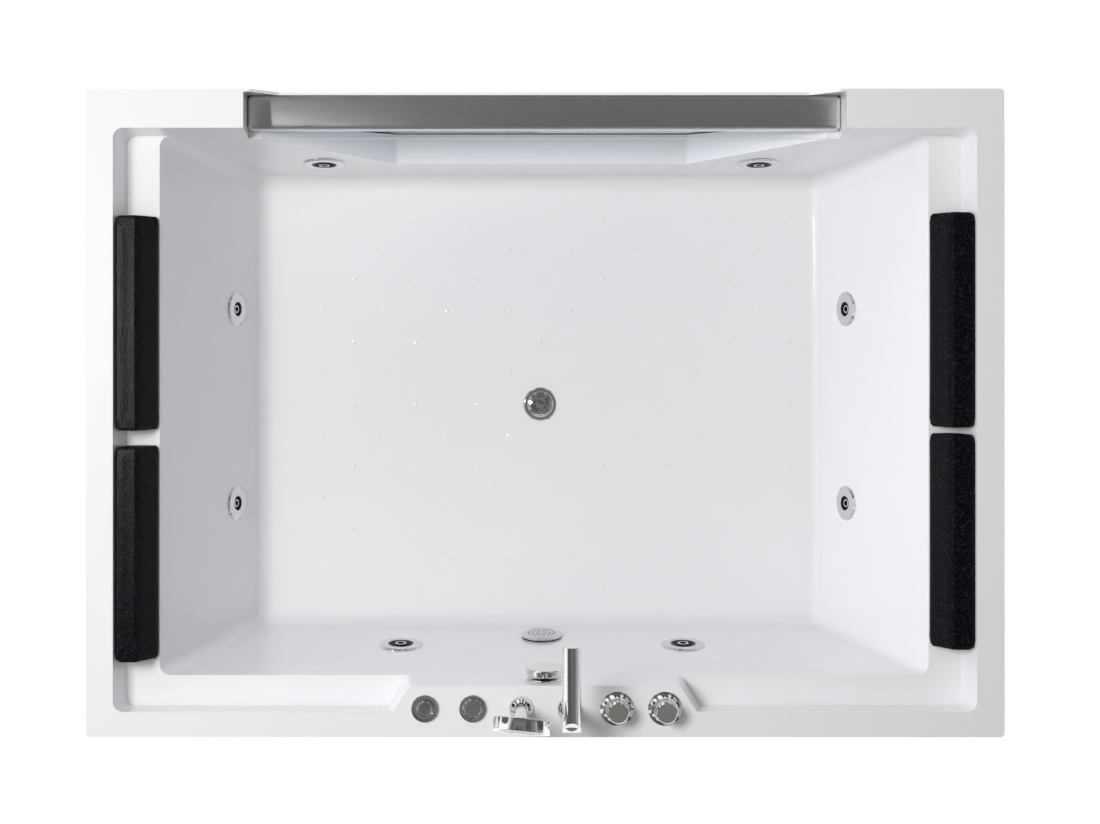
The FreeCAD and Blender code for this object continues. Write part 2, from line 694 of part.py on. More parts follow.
def jet_ports(side, along, z):
    """Radius, top and bottom of a jet's water and air ports, straight down to their pipes."""
    point, normal, level = wall_place(side, along, z)
    rows = []
    lines = {
        "left": (-WATER_END_X, -AIR_END_X), "right": (WATER_END_X, AIR_END_X),
        "front": (WATER_FRONT_Y, AIR_FRONT_Y), "tap": (WATER_TAP_Y, AIR_TAP_Y),
    }
    for line, radius in zip(lines[side], (WATER_PORT_R, AIR_R)):
        if side in ("left", "right"):
            depth = (line - point.x) / normal.x
        else:
            depth = (line - point.y) / normal.y
        top = point + normal * depth
        bottom = Vector(top.x, top.y, top.z - BARREL_R - PORT_LENGTH)
        rows.append((radius, top, bottom))
    return rows


def jet_nozzle(side, along, z, flange_r, dish_r, ball_r):
    """Eyeball with a short spout and a bore through both."""
    point, normal, level = wall_place(side, along, z)
    tip = -JET_BALL_DEPTH + ball_r + NOZZLE_LIP
    eyeball = fused([ball(ball_r, -JET_BALL_DEPTH),
                     rod(ball_r * NOZZLE_SPOUT, Vector(0, 0, -JET_BALL_DEPTH), Vector(0, 0, tip))])
    bore = rod(ball_r * NOZZLE_BORE, Vector(0, 0, -2 * BARREL_R), Vector(0, 0, BARREL_R))
    return placed(eyeball.cut(bore), point, normal, level)


def jet_nut(side, along, z):
    point, normal, level = wall_place(side, along, z)
    low = -WALL - JET_NUT_HEIGHT
    nut = hollow_rod(JET_NUT_R, BARREL_R + SLIDE_GAP / 3, Vector(0, 0, low), Vector(0, 0, -WALL))
    nut = placed(nut, point, normal, level)
    ports = [rod(radius + HOLE_GAP, bottom, top) for radius, top, bottom in jet_ports(side, along, z)]
    return nut.cut(ports)


def swept(points, radius, bend):
    """Round bar along straight runs joined by tangent arcs."""
    edges = []
    start = points[0]
    for before, corner, after in zip(points, points[1:], points[2:]):
        back = (before - corner).normalize()
        ahead = (after - corner).normalize()
        half = back.getAngle(ahead) / 2
        reach = bend / math.tan(half)
        middle = (back + ahead).normalize() * (bend / math.sin(half) - bend)
        edges.append(Part.makeLine(start, corner + back * reach))
        edges.append(Part.Arc(corner + back * reach, corner + middle, corner + ahead * reach).toShape())
        start = corner + ahead * reach
    edges.append(Part.makeLine(start, points[-1]))
    circle = Part.Wire(Part.makeCircle(radius, points[0], (points[1] - points[0]).normalize()))
    return Part.Wire(edges).makePipeShell([circle], True, True)


def ring_route(side_x, front_y, tap_y, z):
    """Round the basin from the right of the tap wall to the left of it."""
    return [Vector(PIPE_START_X, tap_y, z), Vector(side_x, tap_y, z), Vector(side_x, front_y, z),
            Vector(-side_x, front_y, z), Vector(-side_x, tap_y, z), Vector(-PIPE_START_X, tap_y, z)]


def water_pipes():
    ring = swept(ring_route(WATER_END_X, WATER_FRONT_Y, WATER_TAP_Y, WATER_Z), WATER_R, PIPE_BEND)
    tees = [pump_tee()]
    for side, along, z, flange_r, dish_r, ball_r in jet_list():
        radius, top, bottom = jet_ports(side, along, z)[0]
        tees.append(rod(radius, Vector(bottom.x, bottom.y, WATER_Z), bottom))
    return fused([ring] + tees)


def pump_tee():
    y = PUMP_OUTLET_Y
    return rod(WATER_R, Vector(WATER_END_X, y, WATER_Z), Vector(outlet_face(), y, WATER_Z))


def outlet_face():
    return PUMP_X - VOLUTE_R - 2 * JET_FLANGE


def air_pipes():
    ring = swept(ring_route(AIR_END_X, AIR_FRONT_Y, AIR_TAP_Y, AIR_Z), AIR_R, PIPE_BEND)
    tees = []
    for side, along, z, flange_r, dish_r, ball_r in jet_list():
        radius, top, bottom = jet_ports(side, along, z)[1]
        tees.append(rod(radius, Vector(bottom.x, bottom.y, AIR_Z), bottom))
    return fused([ring] + tees)


def pump_volute():
    """Wet end: a round case with its inlet in front and its outlet to the side."""
    centre = Vector(PUMP_X, PUMP_FRONT_Y, PUMP_Z)
    case = rod(VOLUTE_R, centre, centre + Y * VOLUTE_LENGTH)
    inlet = rod(SUCTION_PIPE_R, centre - Y * INLET_LENGTH, centre)
    outlet = rod(WATER_R, Vector(outlet_face(), PUMP_OUTLET_Y, WATER_Z),
                 Vector(PUMP_X, PUMP_OUTLET_Y, WATER_Z))
    foot = block(PUMP_X - MOTOR_R / 2, PUMP_X + MOTOR_R / 2, PUMP_FRONT_Y + PUMP_MARGIN,
                 PUMP_FRONT_Y + VOLUTE_LENGTH - PUMP_MARGIN, TUBE_TOP + PUMP_PLATE, PUMP_Z)
    return fused([case, inlet, outlet, foot])


def pump_motor():
    """Finned motor with a terminal box on top, a fan cover behind and two saddles."""
    start = Vector(PUMP_X, PUMP_FRONT_Y + VOLUTE_LENGTH, PUMP_Z)
    end = start + Y * MOTOR_LENGTH
    pieces = [rod(MOTOR_R - MOTOR_FIN, start, end)]
    fin_start = start + Y * MOTOR_NECK
    fin_length = MOTOR_LENGTH - MOTOR_NECK - FAN_COVER - MOTOR_FIN / 2
    for step in range(MOTOR_FINS):
        fin = block(-FIN_THICK / 2, FIN_THICK / 2, 0, fin_length, MOTOR_R - 2 * MOTOR_FIN, MOTOR_R)
        fin.rotate(Vector(), Y, 360.0 * step / MOTOR_FINS)
        fin.translate(fin_start)
        pieces.append(fin)
    pieces.append(rod(MOTOR_R, end - Y * FAN_COVER, end))
    top = PUMP_Z + MOTOR_R
    half_box = TERMINAL_BOX / 2
    box_y = start.y + MOTOR_NECK + half_box
    pieces.append(block(PUMP_X - half_box, PUMP_X + half_box, box_y, box_y + TERMINAL_BOX,
                        top - 2 * MOTOR_FIN, top + TERMINAL_RISE))
    gland = Vector(PUMP_X - half_box, box_y + half_box, top + TERMINAL_RISE / 2)
    pieces.append(rod(GLAND_R, gland, gland - X * 2 * GLAND_R))
    for y in (fin_start.y + SADDLE, end.y - FAN_COVER - 2 * SADDLE):
        pieces.append(block(PUMP_X - SADDLE_HALF, PUMP_X + SADDLE_HALF, y, y + SADDLE,
                            TUBE_TOP + PUMP_PLATE, PUMP_Z))
    return fused(pieces)


def pump_base():
    side_in = CROSS_RAIL_X - TUBE / 2
    side_out = END_RAIL_X + TUBE / 2
    return slab(side_in, side_out, PUMP_FRONT_Y - PUMP_MARGIN, PUMP_FRONT_Y + VOLUTE_LENGTH + MOTOR_LENGTH,
                TUBE_TOP, TUBE_TOP + PUMP_PLATE, 2 * RIM_CORNER)


def suction_cover():
    """Domed grille with rings of round holes."""
    point, normal, level = wall_place("tap", 0, SUCTION_Z)
    low = JET_FLANGE
    dome = turned([(0, low), (SUCTION_R, low), (SUCTION_R, low + SUCTION_COVER / 3),
                   (SUCTION_R * 0.8, low + SUCTION_COVER), (0, low + SUCTION_COVER)])
    holes = []
    for ring in (1, 2, 3):
        radius = GRILLE_RING_STEP * ring
        for step in range(6 * ring):
            angle = 2 * math.pi * step / (6 * ring)
            at = Vector(radius * math.cos(angle), radius * math.sin(angle), 0)
            holes.append(rod(GRILLE_HOLE_R, at, at + Z * 4 * SUCTION_COVER))
    return placed(dome.cut(holes), point, normal, level)


def suction_body():
    """Cup behind the cover, and the pipe that dips below the frame on its way to the pump."""
    point, normal, level = wall_place("tap", 0, SUCTION_Z)
    cup = turned([(0, -SUCTION_TAIL), (SUCTION_TAIL_R, -SUCTION_TAIL), (SUCTION_TAIL_R, 0),
                  (SUCTION_R - 2, 0), (SUCTION_R - 2, JET_FLANGE), (0, JET_FLANGE)])
    room = rod(SUCTION_TAIL_R - SUCTION_CUP, Z * (SUCTION_CUP - SUCTION_TAIL), Z * 2 * JET_FLANGE)
    middle = point - normal * (SUCTION_TAIL - SUCTION_CUP - SUCTION_PIPE_R)
    start = Vector(SUCTION_TAIL_R + PORT_LENGTH, middle.y, middle.z)
    port = rod(SUCTION_PIPE_R, Vector(SUCTION_TAIL_R / 2, middle.y, middle.z), start)
    body = fused([placed(cup, point, normal, level), port]).cut(placed(room, point, normal, level))
    elbow = start + X * PIPE_BEND
    route = [start, elbow]
    for x, z in ((elbow.x, SUCTION_RUN_Z), (PUMP_X, SUCTION_RUN_Z), (PUMP_X, PUMP_Z)):
        route.append(Vector(x, SUCTION_PIPE_Y, z))
    route.append(Vector(PUMP_X, PUMP_FRONT_Y - INLET_LENGTH, PUMP_Z))
    return body, swept(route, SUCTION_PIPE_R, SUCTION_BEND)


def drain_flange():
    """Ring in the floor, threaded tail and the three-armed guide of the plug's stem."""
    top = DRAIN_FLANGE
    ring = turned([(DRAIN_BORE_R, 0), (DRAIN_R, 0), (DRAIN_R, top / 3), (DRAIN_R - top, top),
                   (DRAIN_BORE_R + 2, top), (DRAIN_BORE_R, top / 3)])
    tail = hollow_rod(DRAIN_TAIL_R, DRAIN_BORE_R, Vector(0, 0, -DRAIN_TAIL), Vector(0, 0, top / 3))
    low, high = -PLUG_GUIDE - GUIDE_THICK, -PLUG_GUIDE
    guide = rod(2 * PLUG_STEM_R, Z * low, Z * high)
    arms = []
    for step in range(3):
        arm = block(0, DRAIN_BORE_R + 1, -GUIDE_ARM / 2, GUIDE_ARM / 2, low, high)
        arm.rotate(Vector(), Z, 120.0 * step)
        arms.append(arm)
    solid = fused([ring, tail, guide] + arms)
    solid = solid.cut(rod(PLUG_STEM_R + SLIDE_GAP, Z * (low - 1), Z * (high + 1)))
    return placed(solid, Vector(0, 0, FLOOR_Z), Z, X)


def drain_plug():
    """Domed plug on a stem, resting just above the ring."""
    low = DRAIN_FLANGE + SLIDE_GAP
    crown = turned([(0, low), (PLUG_R, low), (PLUG_R, low + PLUG_EDGE / 2),
                    (PLUG_R - PLUG_EDGE, low + PLUG_EDGE), (PLUG_R * 0.5, low + PLUG_EDGE + PLUG_CROWN * 0.7),
                    (0, low + PLUG_EDGE + PLUG_CROWN)])
    stem = rod(PLUG_STEM_R, -Z * (PLUG_GUIDE + 2 * GUIDE_THICK + PLUG_TRAVEL), Z * low)
    return placed(fused([crown, stem]), Vector(0, 0, FLOOR_Z), Z, X)


def drain_trap():
    """Body under the drain, trap cup and the waste pipe out at the wall side."""
    top = UNDER_FLOOR
    bore = DRAIN_TAIL_R + SLIDE_GAP / 3
    cup = rod(TRAP_R, Vector(0, 0, TRAP_BOTTOM), Vector(0, 0, top))
    start = Vector(-TRAP_R + 3, 0, WASTE_Z)
    route = [start, Vector(WASTE_X, 0, WASTE_Z), Vector(WASTE_X, WASTE_END_Y, WASTE_Z)]
    waste = swept(route, WASTE_R, PIPE_BEND / 2)
    spigot = rod(SPIGOT_R, route[-1], route[-1] + Y * SPIGOT)
    bores = [rod(bore, Vector(0, 0, TRAP_BOTTOM + PIPE_WALL), Vector(0, 0, top)),
             rod(WASTE_R - PIPE_WALL, route[-1], route[-1] + Y * SPIGOT)]
    return fused([cup, waste, spigot]).cut(bores)


def overflow_pipe():
    """Elbow behind the overflow, its pipe down and its run to the trap."""
    point, normal, level = wall_place("tap", 0, OVERFLOW_Z)
    body = rod(OVERFLOW_BODY_R, point, point - normal * ((point.y - OVERFLOW_PIPE_Y) / normal.y))
    bore = rod(2 * OVERFLOW_SHAFT_R, point + normal, point - normal * OVERFLOW_BORE)
    drop_top = Vector(0, OVERFLOW_PIPE_Y, OVERFLOW_Z)
    corner = Vector(0, OVERFLOW_PIPE_Y, OVERFLOW_RUN_Z)
    last = Vector(0, -TRAP_R - SLIDE_GAP, OVERFLOW_RUN_Z)
    pipe = swept([drop_top, corner, last], OVERFLOW_PIPE_R, PIPE_BEND / 2)
    return fused([body.cut(bore), pipe.cut(bore)])


def overflow_plate():
    point, normal, level = wall_place("tap", 0, OVERFLOW_Z)
    plate = turned([(OVERFLOW_SHAFT_R + SLIDE_GAP, 0), (OVERFLOW_PLATE_R, 0),
                    (OVERFLOW_PLATE_R, OVERFLOW_PLATE / 2), (OVERFLOW_PLATE_R - 1.5, OVERFLOW_PLATE),
                    (OVERFLOW_SHAFT_R + SLIDE_GAP, OVERFLOW_PLATE)])
    return placed(plate, point, normal, level)


def overflow_knob():
    """Round knob on its shaft, with the grub-screw hole that shows on its edge."""
    point, normal, level = wall_place("tap", 0, OVERFLOW_Z)
    low = OVERFLOW_PLATE + OVERFLOW_GAP
    high = low + OVERFLOW_KNOB
    cap = turned([(0, low), (OVERFLOW_KNOB_R - 1, low), (OVERFLOW_KNOB_R, low + 1),
                  (OVERFLOW_KNOB_R, high - 2), (OVERFLOW_KNOB_R - 2, high), (0, high)])
    shaft = rod(OVERFLOW_SHAFT_R, Vector(0, 0, -2 * OVERFLOW_SHAFT_R), Vector(0, 0, low))
    grub = rod(GRUB_R, Vector(0, OVERFLOW_KNOB_R + 1, (low + high) / 2),
               Vector(0, OVERFLOW_KNOB_R - 4 * GRUB_R, (low + high) / 2))
    return placed(fused([cap, shaft]).cut(grub), point, normal, level)


def drain_cable():
    """Sheathed cable from the overflow elbow down to the trap body."""
    low = OVERFLOW_RUN_Z + OVERFLOW_PIPE_R + 2 * CABLE_R
    side = OVERFLOW_BODY_R + CABLE_R + SEAT_GAP
    reach = math.hypot(TRAP_R, CABLE_R) + SEAT_GAP
    aim = Vector(math.cos(CABLE_AIM), -math.sin(CABLE_AIM), 0)
    route = [Vector(side, OVERFLOW_PIPE_Y, OVERFLOW_Z), Vector(side, OVERFLOW_PIPE_Y, low),
             Vector(side, -2 * TRAP_R, low), aim * reach + Z * low]
    return swept(route, CABLE_R, CABLE_BEND)


def deck_point(index):
    return Vector(TAP_X[index], TAP_LINE_Y, RIM_Z)


def control_body(index, moving_r, travel):
    """Flush control: a bevelled flange, a shank under the deck and a well for the moving piece."""
    well = FLANGE_HEIGHT - travel - CONTROL_DEPTH
    outer = turned([(0, -SHANK_LENGTH), (SHANK_R, -SHANK_LENGTH), (SHANK_R, 0), (BUTTON_FLANGE_R, 0),
                    (BUTTON_FLANGE_R, FLANGE_HEIGHT / 2), (BUTTON_FLANGE_R - 2, FLANGE_HEIGHT),
                    (0, FLANGE_HEIGHT)])
    if moving_r + SLIDE_GAP < SHANK_R:
        room = rod(moving_r + SLIDE_GAP, Vector(0, 0, well), Vector(0, 0, 2 * FLANGE_HEIGHT))
    else:
        room = rod(moving_r + SLIDE_GAP, Vector(0, 0, FLANGE_HEIGHT / 2), Vector(0, 0, 2 * FLANGE_HEIGHT))
    return placed(outer.cut(room), deck_point(index), Z, X)


def air_button():
    low = FLANGE_HEIGHT - CONTROL_DEPTH + SEAT_GAP
    shape = turned([(0, low), (BUTTON_R, low), (BUTTON_R, FLANGE_HEIGHT), (BUTTON_R - 1, FLANGE_HEIGHT + 1),
                    (0, FLANGE_HEIGHT + 1)])
    return placed(shape, deck_point(0), Z, X)


def air_dial():
    """Low dial with a pointer bump at its edge."""
    low = FLANGE_HEIGHT / 2 + SEAT_GAP
    shape = turned([(0, low), (DIAL_R, low), (DIAL_R, FLANGE_HEIGHT), (DIAL_R - 1, FLANGE_HEIGHT + 1),
                    (0, FLANGE_HEIGHT + 1)])
    bump = ball(DIAL_BUMP_R, FLANGE_HEIGHT + 1)
    bump.translate(Vector(-DIAL_R * 0.6, DIAL_R * 0.5, 0))
    return placed(fused([shape, bump]), deck_point(1), Z, X)


def shower_holder():
    """Domed holder with a collar and the bore that the handle drops into."""
    outer = turned([(0, -SHANK_LENGTH), (SHANK_R, -SHANK_LENGTH), (SHANK_R, 0), (HOLDER_R, 0), (HOLDER_R, 3),
                    (HOLDER_R - 3, 8), (HOLDER_COLLAR_R + 1, HOLDER_HEIGHT - 3),
                    (HOLDER_COLLAR_R, HOLDER_HEIGHT), (0, HOLDER_HEIGHT)])
    bore = rod(HOLDER_BORE_R, Vector(0, 0, -SHANK_LENGTH - 1), Vector(0, 0, HOLDER_HEIGHT + 1))
    return placed(outer.cut(bore), deck_point(2), Z, X)


def head_axis():
    """Way that the shower head faces: towards the wall, tilted up and a little to one side."""
    tilt, yaw = math.radians(HEAD_TILT), math.radians(HEAD_YAW)
    return Vector(-math.sin(yaw) * math.cos(tilt), -math.cos(yaw) * math.cos(tilt), math.sin(tilt))


def hand_shower():
    """Handle that stands in its holder, with a round head set across its top."""
    low = HOLDER_HEIGHT - HANDLE_SEAT
    neck = HEAD_Z - HEAD_R * 0.8
    top = HEAD_Z - HEAD_R * 0.3
    handle = turned([(0, low), (HANDLE_R, low), (HANDLE_R, HOLDER_HEIGHT + 1),
                     (HANDLE_R + HANDLE_SWELL, HOLDER_HEIGHT + 6), (HANDLE_R + HANDLE_SWELL, neck * 0.6),
                     (HANDLE_R, neck), (HANDLE_R, top), (0, top)])
    half = HEAD_THICK / 2
    head = turned([(0, -half), (HEAD_R - 2, -half), (HEAD_R, 2 - half), (HEAD_R, half - 2),
                   (HEAD_R - 2, half), (0, half)])
    facing = head_axis()
    level = facing.cross(Z).normalize()
    head = placed(head, Vector(0, 0, HEAD_Z), facing, level)
    face = Vector(0, 0, HEAD_Z) + facing * half
    clear = placed(rod(HEAD_R, Vector(), Z * HEAD_R), face, facing, level)
    return placed(fused([handle.cut(clear), head]), deck_point(2), Z, X)


def spout_base():
    outer = turned([(0, -SHANK_LENGTH), (SHANK_R, -SHANK_LENGTH), (SHANK_R, 0), (SPOUT_R, 0), (SPOUT_R, 3),
                    (SPOUT_R - 3, 8), (RISER_R + 3, SPOUT_BASE), (0, SPOUT_BASE)])
    bore = rod(RISER_TAIL_R + SLIDE_GAP, Vector(0, 0, -SHANK_LENGTH / 2), Vector(0, 0, 2 * SPOUT_BASE))
    return placed(outer.cut(bore), deck_point(3), Z, X)


def spout():
    """Riser that turns in its base, and a D-section arm with its outlet at the tip."""
    riser = rod(RISER_R, Vector(0, 0, SPOUT_BASE + SEAT_GAP), Vector(0, 0, SPOUT_Z + SPOUT_THICK / 2))
    tail = rod(RISER_TAIL_R, Vector(0, 0, -SHANK_LENGTH / 2 + SEAT_GAP), Vector(0, 0, 2 * SPOUT_BASE))
    back = SPOUT_BACK_Y - TAP_LINE_Y
    tip = SPOUT_TIP_Y - TAP_LINE_Y
    half = SPOUT_WIDTH / 2
    start = Vector(-half, back, SPOUT_Z)
    end = Vector(half, back, SPOUT_Z)
    side = Z * SPOUT_SIDE
    crown = Vector(0, back, SPOUT_Z + SPOUT_THICK)
    edges = [Part.makeLine(start, end), Part.makeLine(end, end + side),
             Part.Arc(end + side, crown, start + side).toShape(), Part.makeLine(start + side, start)]
    arm = Part.Face(Part.Wire(edges)).extrude(Y * (tip - back))
    corner = Vector(-SPOUT_WIDTH, back, SPOUT_Z)
    rise = Z * 2 * SPOUT_THICK
    slope = Part.makePolygon([corner, corner + rise, corner + rise + Y * 2 * SPOUT_THICK, corner])
    wedge = Part.Face(slope).extrude(X * 2 * SPOUT_WIDTH)
    mouth = Vector(0, tip - SPOUT_WIDTH / 2, SPOUT_Z - 1)
    outlet = rod(OUTLET_R, mouth, mouth + Z * OUTLET_DEPTH)
    return placed(fused([riser, tail, arm.cut(wedge)]).cut(outlet), deck_point(3), Z, X)


def valve_body(index):
    """Flared skirt on the deck, cartridge stub inside the knob and valve body under the deck."""
    outer = turned([(0, -SHANK_LENGTH), (SHANK_R, -SHANK_LENGTH), (SHANK_R, 0), (VALVE_SKIRT_R, 0),
                    (VALVE_SKIRT_R, 2), (KNOB_R + 3, VALVE_SKIRT * 0.6), (KNOB_R - 0.5, VALVE_SKIRT),
                    (KNOB_R * STUB_SHARE, VALVE_SKIRT), (KNOB_R * STUB_SHARE, VALVE_SKIRT + VALVE_STUB),
                    (0, VALVE_SKIRT + VALVE_STUB)])
    tail = rod(TAIL_R, Vector(0, 0, -SHANK_LENGTH - TAIL_LENGTH), Vector(0, 0, -SHANK_LENGTH))
    return placed(fused([outer, tail]), deck_point(index), Z, X)


def knob(index):
    """Cylindrical knob over its cartridge stub, with a pointer groove in its top."""
    low = VALVE_SKIRT + SEAT_GAP
    outer = turned([(0, low), (KNOB_R, low), (KNOB_R, KNOB_TOP - 1.5), (KNOB_R - 1.5, KNOB_TOP),
                    (0, KNOB_TOP)])
    room = rod(KNOB_R * STUB_SHARE + SLIDE_GAP, Vector(), Z * (VALVE_SKIRT + VALVE_STUB + SEAT_GAP))
    groove = block(-GROOVE, GROOVE, KNOB_R * 0.35, KNOB_R + 1, KNOB_TOP - GROOVE, KNOB_TOP + 1)
    return placed(outer.cut([room, groove]), deck_point(index), Z, X)


def rest_section(sign, y, shrink):
    """Headrest outline at one y: seat on the ledge, steep inner face, crease and sloped top."""
    low = LEDGE_Z + SEAT_GAP + shrink
    top = RIM_Z + REST_RISE - shrink
    edge = top - REST_EDGE
    inward = -REST_CLEAR - shrink
    wall = slanted(low, LEDGE_Z, POCKET_LEDGE_HALF, RIM_Z, POCKET_RIM_HALF, inward)
    outer = slanted(edge, LEDGE_Z, POCKET_LEDGE_HALF, RIM_Z, POCKET_RIM_HALF, inward)
    points = [Vector(wall, y, low), Vector(outer, y, edge), Vector(outer - 6, y, edge + 5),
              Vector(REST_CREASE, y, top), Vector(REST_INNER + shrink, y, low + REST_EDGE),
              Vector(REST_INNER + shrink, y, low)]
    if sign < 0:
        points = [Vector(-point.x, y, point.z) for point in points]
    return rounded(points, [3, 2, 4, 6, 3, 2])


def headrest(sign, middle):
    """Padded headrest: full over most of its length, drawn in at its two ends."""
    half = REST_LENGTH / 2
    rows = [(-half, 5.0), (-half + 5, 1.5), (-half + 18, 0.0), (half - 18, 0.0), (half - 5, 1.5), (half, 5.0)]
    return Part.makeLoft([rest_section(sign, middle + y, shrink) for y, shrink in rows], True, True)


def build_frame():
    save("tub_shell", tub_shell())
    save("floor_board", *floor_board())
    screws = [screw_hole(point, outward) for point, outward in screw_places()]
    save("frame_rails", *[tube.cut(screws).Solids[0] for tube in frame_rails()])
    save("frame_posts", *[frame_post(x, y) for x, y in post_places()])
    save("foot_studs", *[foot_stud(x, y) for x, y in foot_places()])
    save("foot_pads", *[foot_pad(x, y) for x, y in foot_places()])
    save("skirt_front", skirt_front().cut(screws))
    save("skirt_left", skirt_side(-1).cut(screws))
    save("skirt_right", skirt_side(1).cut(screws))
    save("skirt_screws", *[screw(point, outward) for point, outward in screw_places()])
    save("window_glass", window_glass())
    save("window_gasket", window_gasket())
    save("window_frame", window_frame())
    save("window_rail", window_rail())


def build_water():
    for number, jet in enumerate(jet_list(), 1):
        save("jet_housing_%d" % number, jet_housing(*jet))
        save("jet_nozzle_%d" % number, jet_nozzle(*jet))
    save("jet_nuts", *[jet_nut(*jet[:3]) for jet in jet_list()])
    save("water_pipes", water_pipes())
    save("air_pipes", air_pipes())
    save("pump_volute", pump_volute())
    save("pump_motor", pump_motor())
    save("pump_base", pump_base())
    save("suction_cover", suction_cover())
    save("suction_body", *suction_body())
    save("drain_flange", drain_flange())
    save("drain_plug", drain_plug())
    save("drain_trap", drain_trap())
    save("overflow_pipe", overflow_pipe())
    save("overflow_plate", overflow_plate())
    save("overflow_knob", overflow_knob())
    save("drain_cable", drain_cable())


def build_deck():
    save("air_button_body", control_body(0, BUTTON_R, BUTTON_TRAVEL))
    save("air_button", air_button())
    save("air_dial_body", control_body(1, DIAL_R, 0.0))
    save("air_dial", air_dial())
    save("shower_holder", shower_holder())
    save("hand_shower", hand_shower())
    save("spout_base", spout_base())
    save("spout", spout())
    save("valve_bodies", valve_body(4), valve_body(5))
    save("mixer_knob", knob(4))
    save("diverter_knob", knob(5))
    for place, middle in zip(("window", "tap"), REST_LEFT_Y):
        save("headrest_left_" + place, headrest(-1, middle))
    for place, middle in zip(("window", "tap"), REST_RIGHT_Y):
        save("headrest_right_" + place, headrest(1, middle))


os.makedirs("parts", exist_ok=True)
build_frame()
build_water()
build_deck()
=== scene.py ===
"""Looks of the jetted bathtub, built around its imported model: metres, +Z up, taps at -Y."""

import bpy
import bmesh
import math
from mathutils import Matrix, Vector
from mathutils.kdtree import KDTree


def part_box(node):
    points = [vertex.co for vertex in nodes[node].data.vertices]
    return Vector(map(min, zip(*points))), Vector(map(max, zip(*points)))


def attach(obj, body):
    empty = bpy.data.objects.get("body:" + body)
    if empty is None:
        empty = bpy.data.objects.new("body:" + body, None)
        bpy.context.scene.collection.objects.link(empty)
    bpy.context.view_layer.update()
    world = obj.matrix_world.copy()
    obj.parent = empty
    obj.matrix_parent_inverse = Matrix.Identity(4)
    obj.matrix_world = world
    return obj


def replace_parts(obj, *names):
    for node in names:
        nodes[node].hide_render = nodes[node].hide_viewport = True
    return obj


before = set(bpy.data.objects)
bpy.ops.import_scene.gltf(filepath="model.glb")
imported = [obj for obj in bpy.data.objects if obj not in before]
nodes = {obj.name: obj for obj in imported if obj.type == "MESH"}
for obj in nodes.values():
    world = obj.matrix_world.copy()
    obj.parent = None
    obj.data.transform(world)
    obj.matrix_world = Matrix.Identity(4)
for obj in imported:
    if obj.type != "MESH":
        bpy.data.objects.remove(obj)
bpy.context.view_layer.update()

# Camera. The photograph looks straight down from 3.8 m above the rim, a little left of the tub's
# middle and towards its window; the shift frames the whole tub without tilting the view.
RIM = 0.6
VIEW_HEIGHT = 3.785
PICTURE_WIDTH = 1100
camera_data = bpy.data.cameras.new("camera")
camera_data.sensor_width = 36.0
camera_data.lens = 67.0
camera_data.shift_x = 50 / PICTURE_WIDTH
camera_data.shift_y = -82 / PICTURE_WIDTH
camera = bpy.data.objects.new("camera", camera_data)
camera.location = (-0.083, 0.153, RIM + VIEW_HEIGHT)
bpy.context.scene.collection.objects.link(camera)
bpy.context.scene.camera = camera


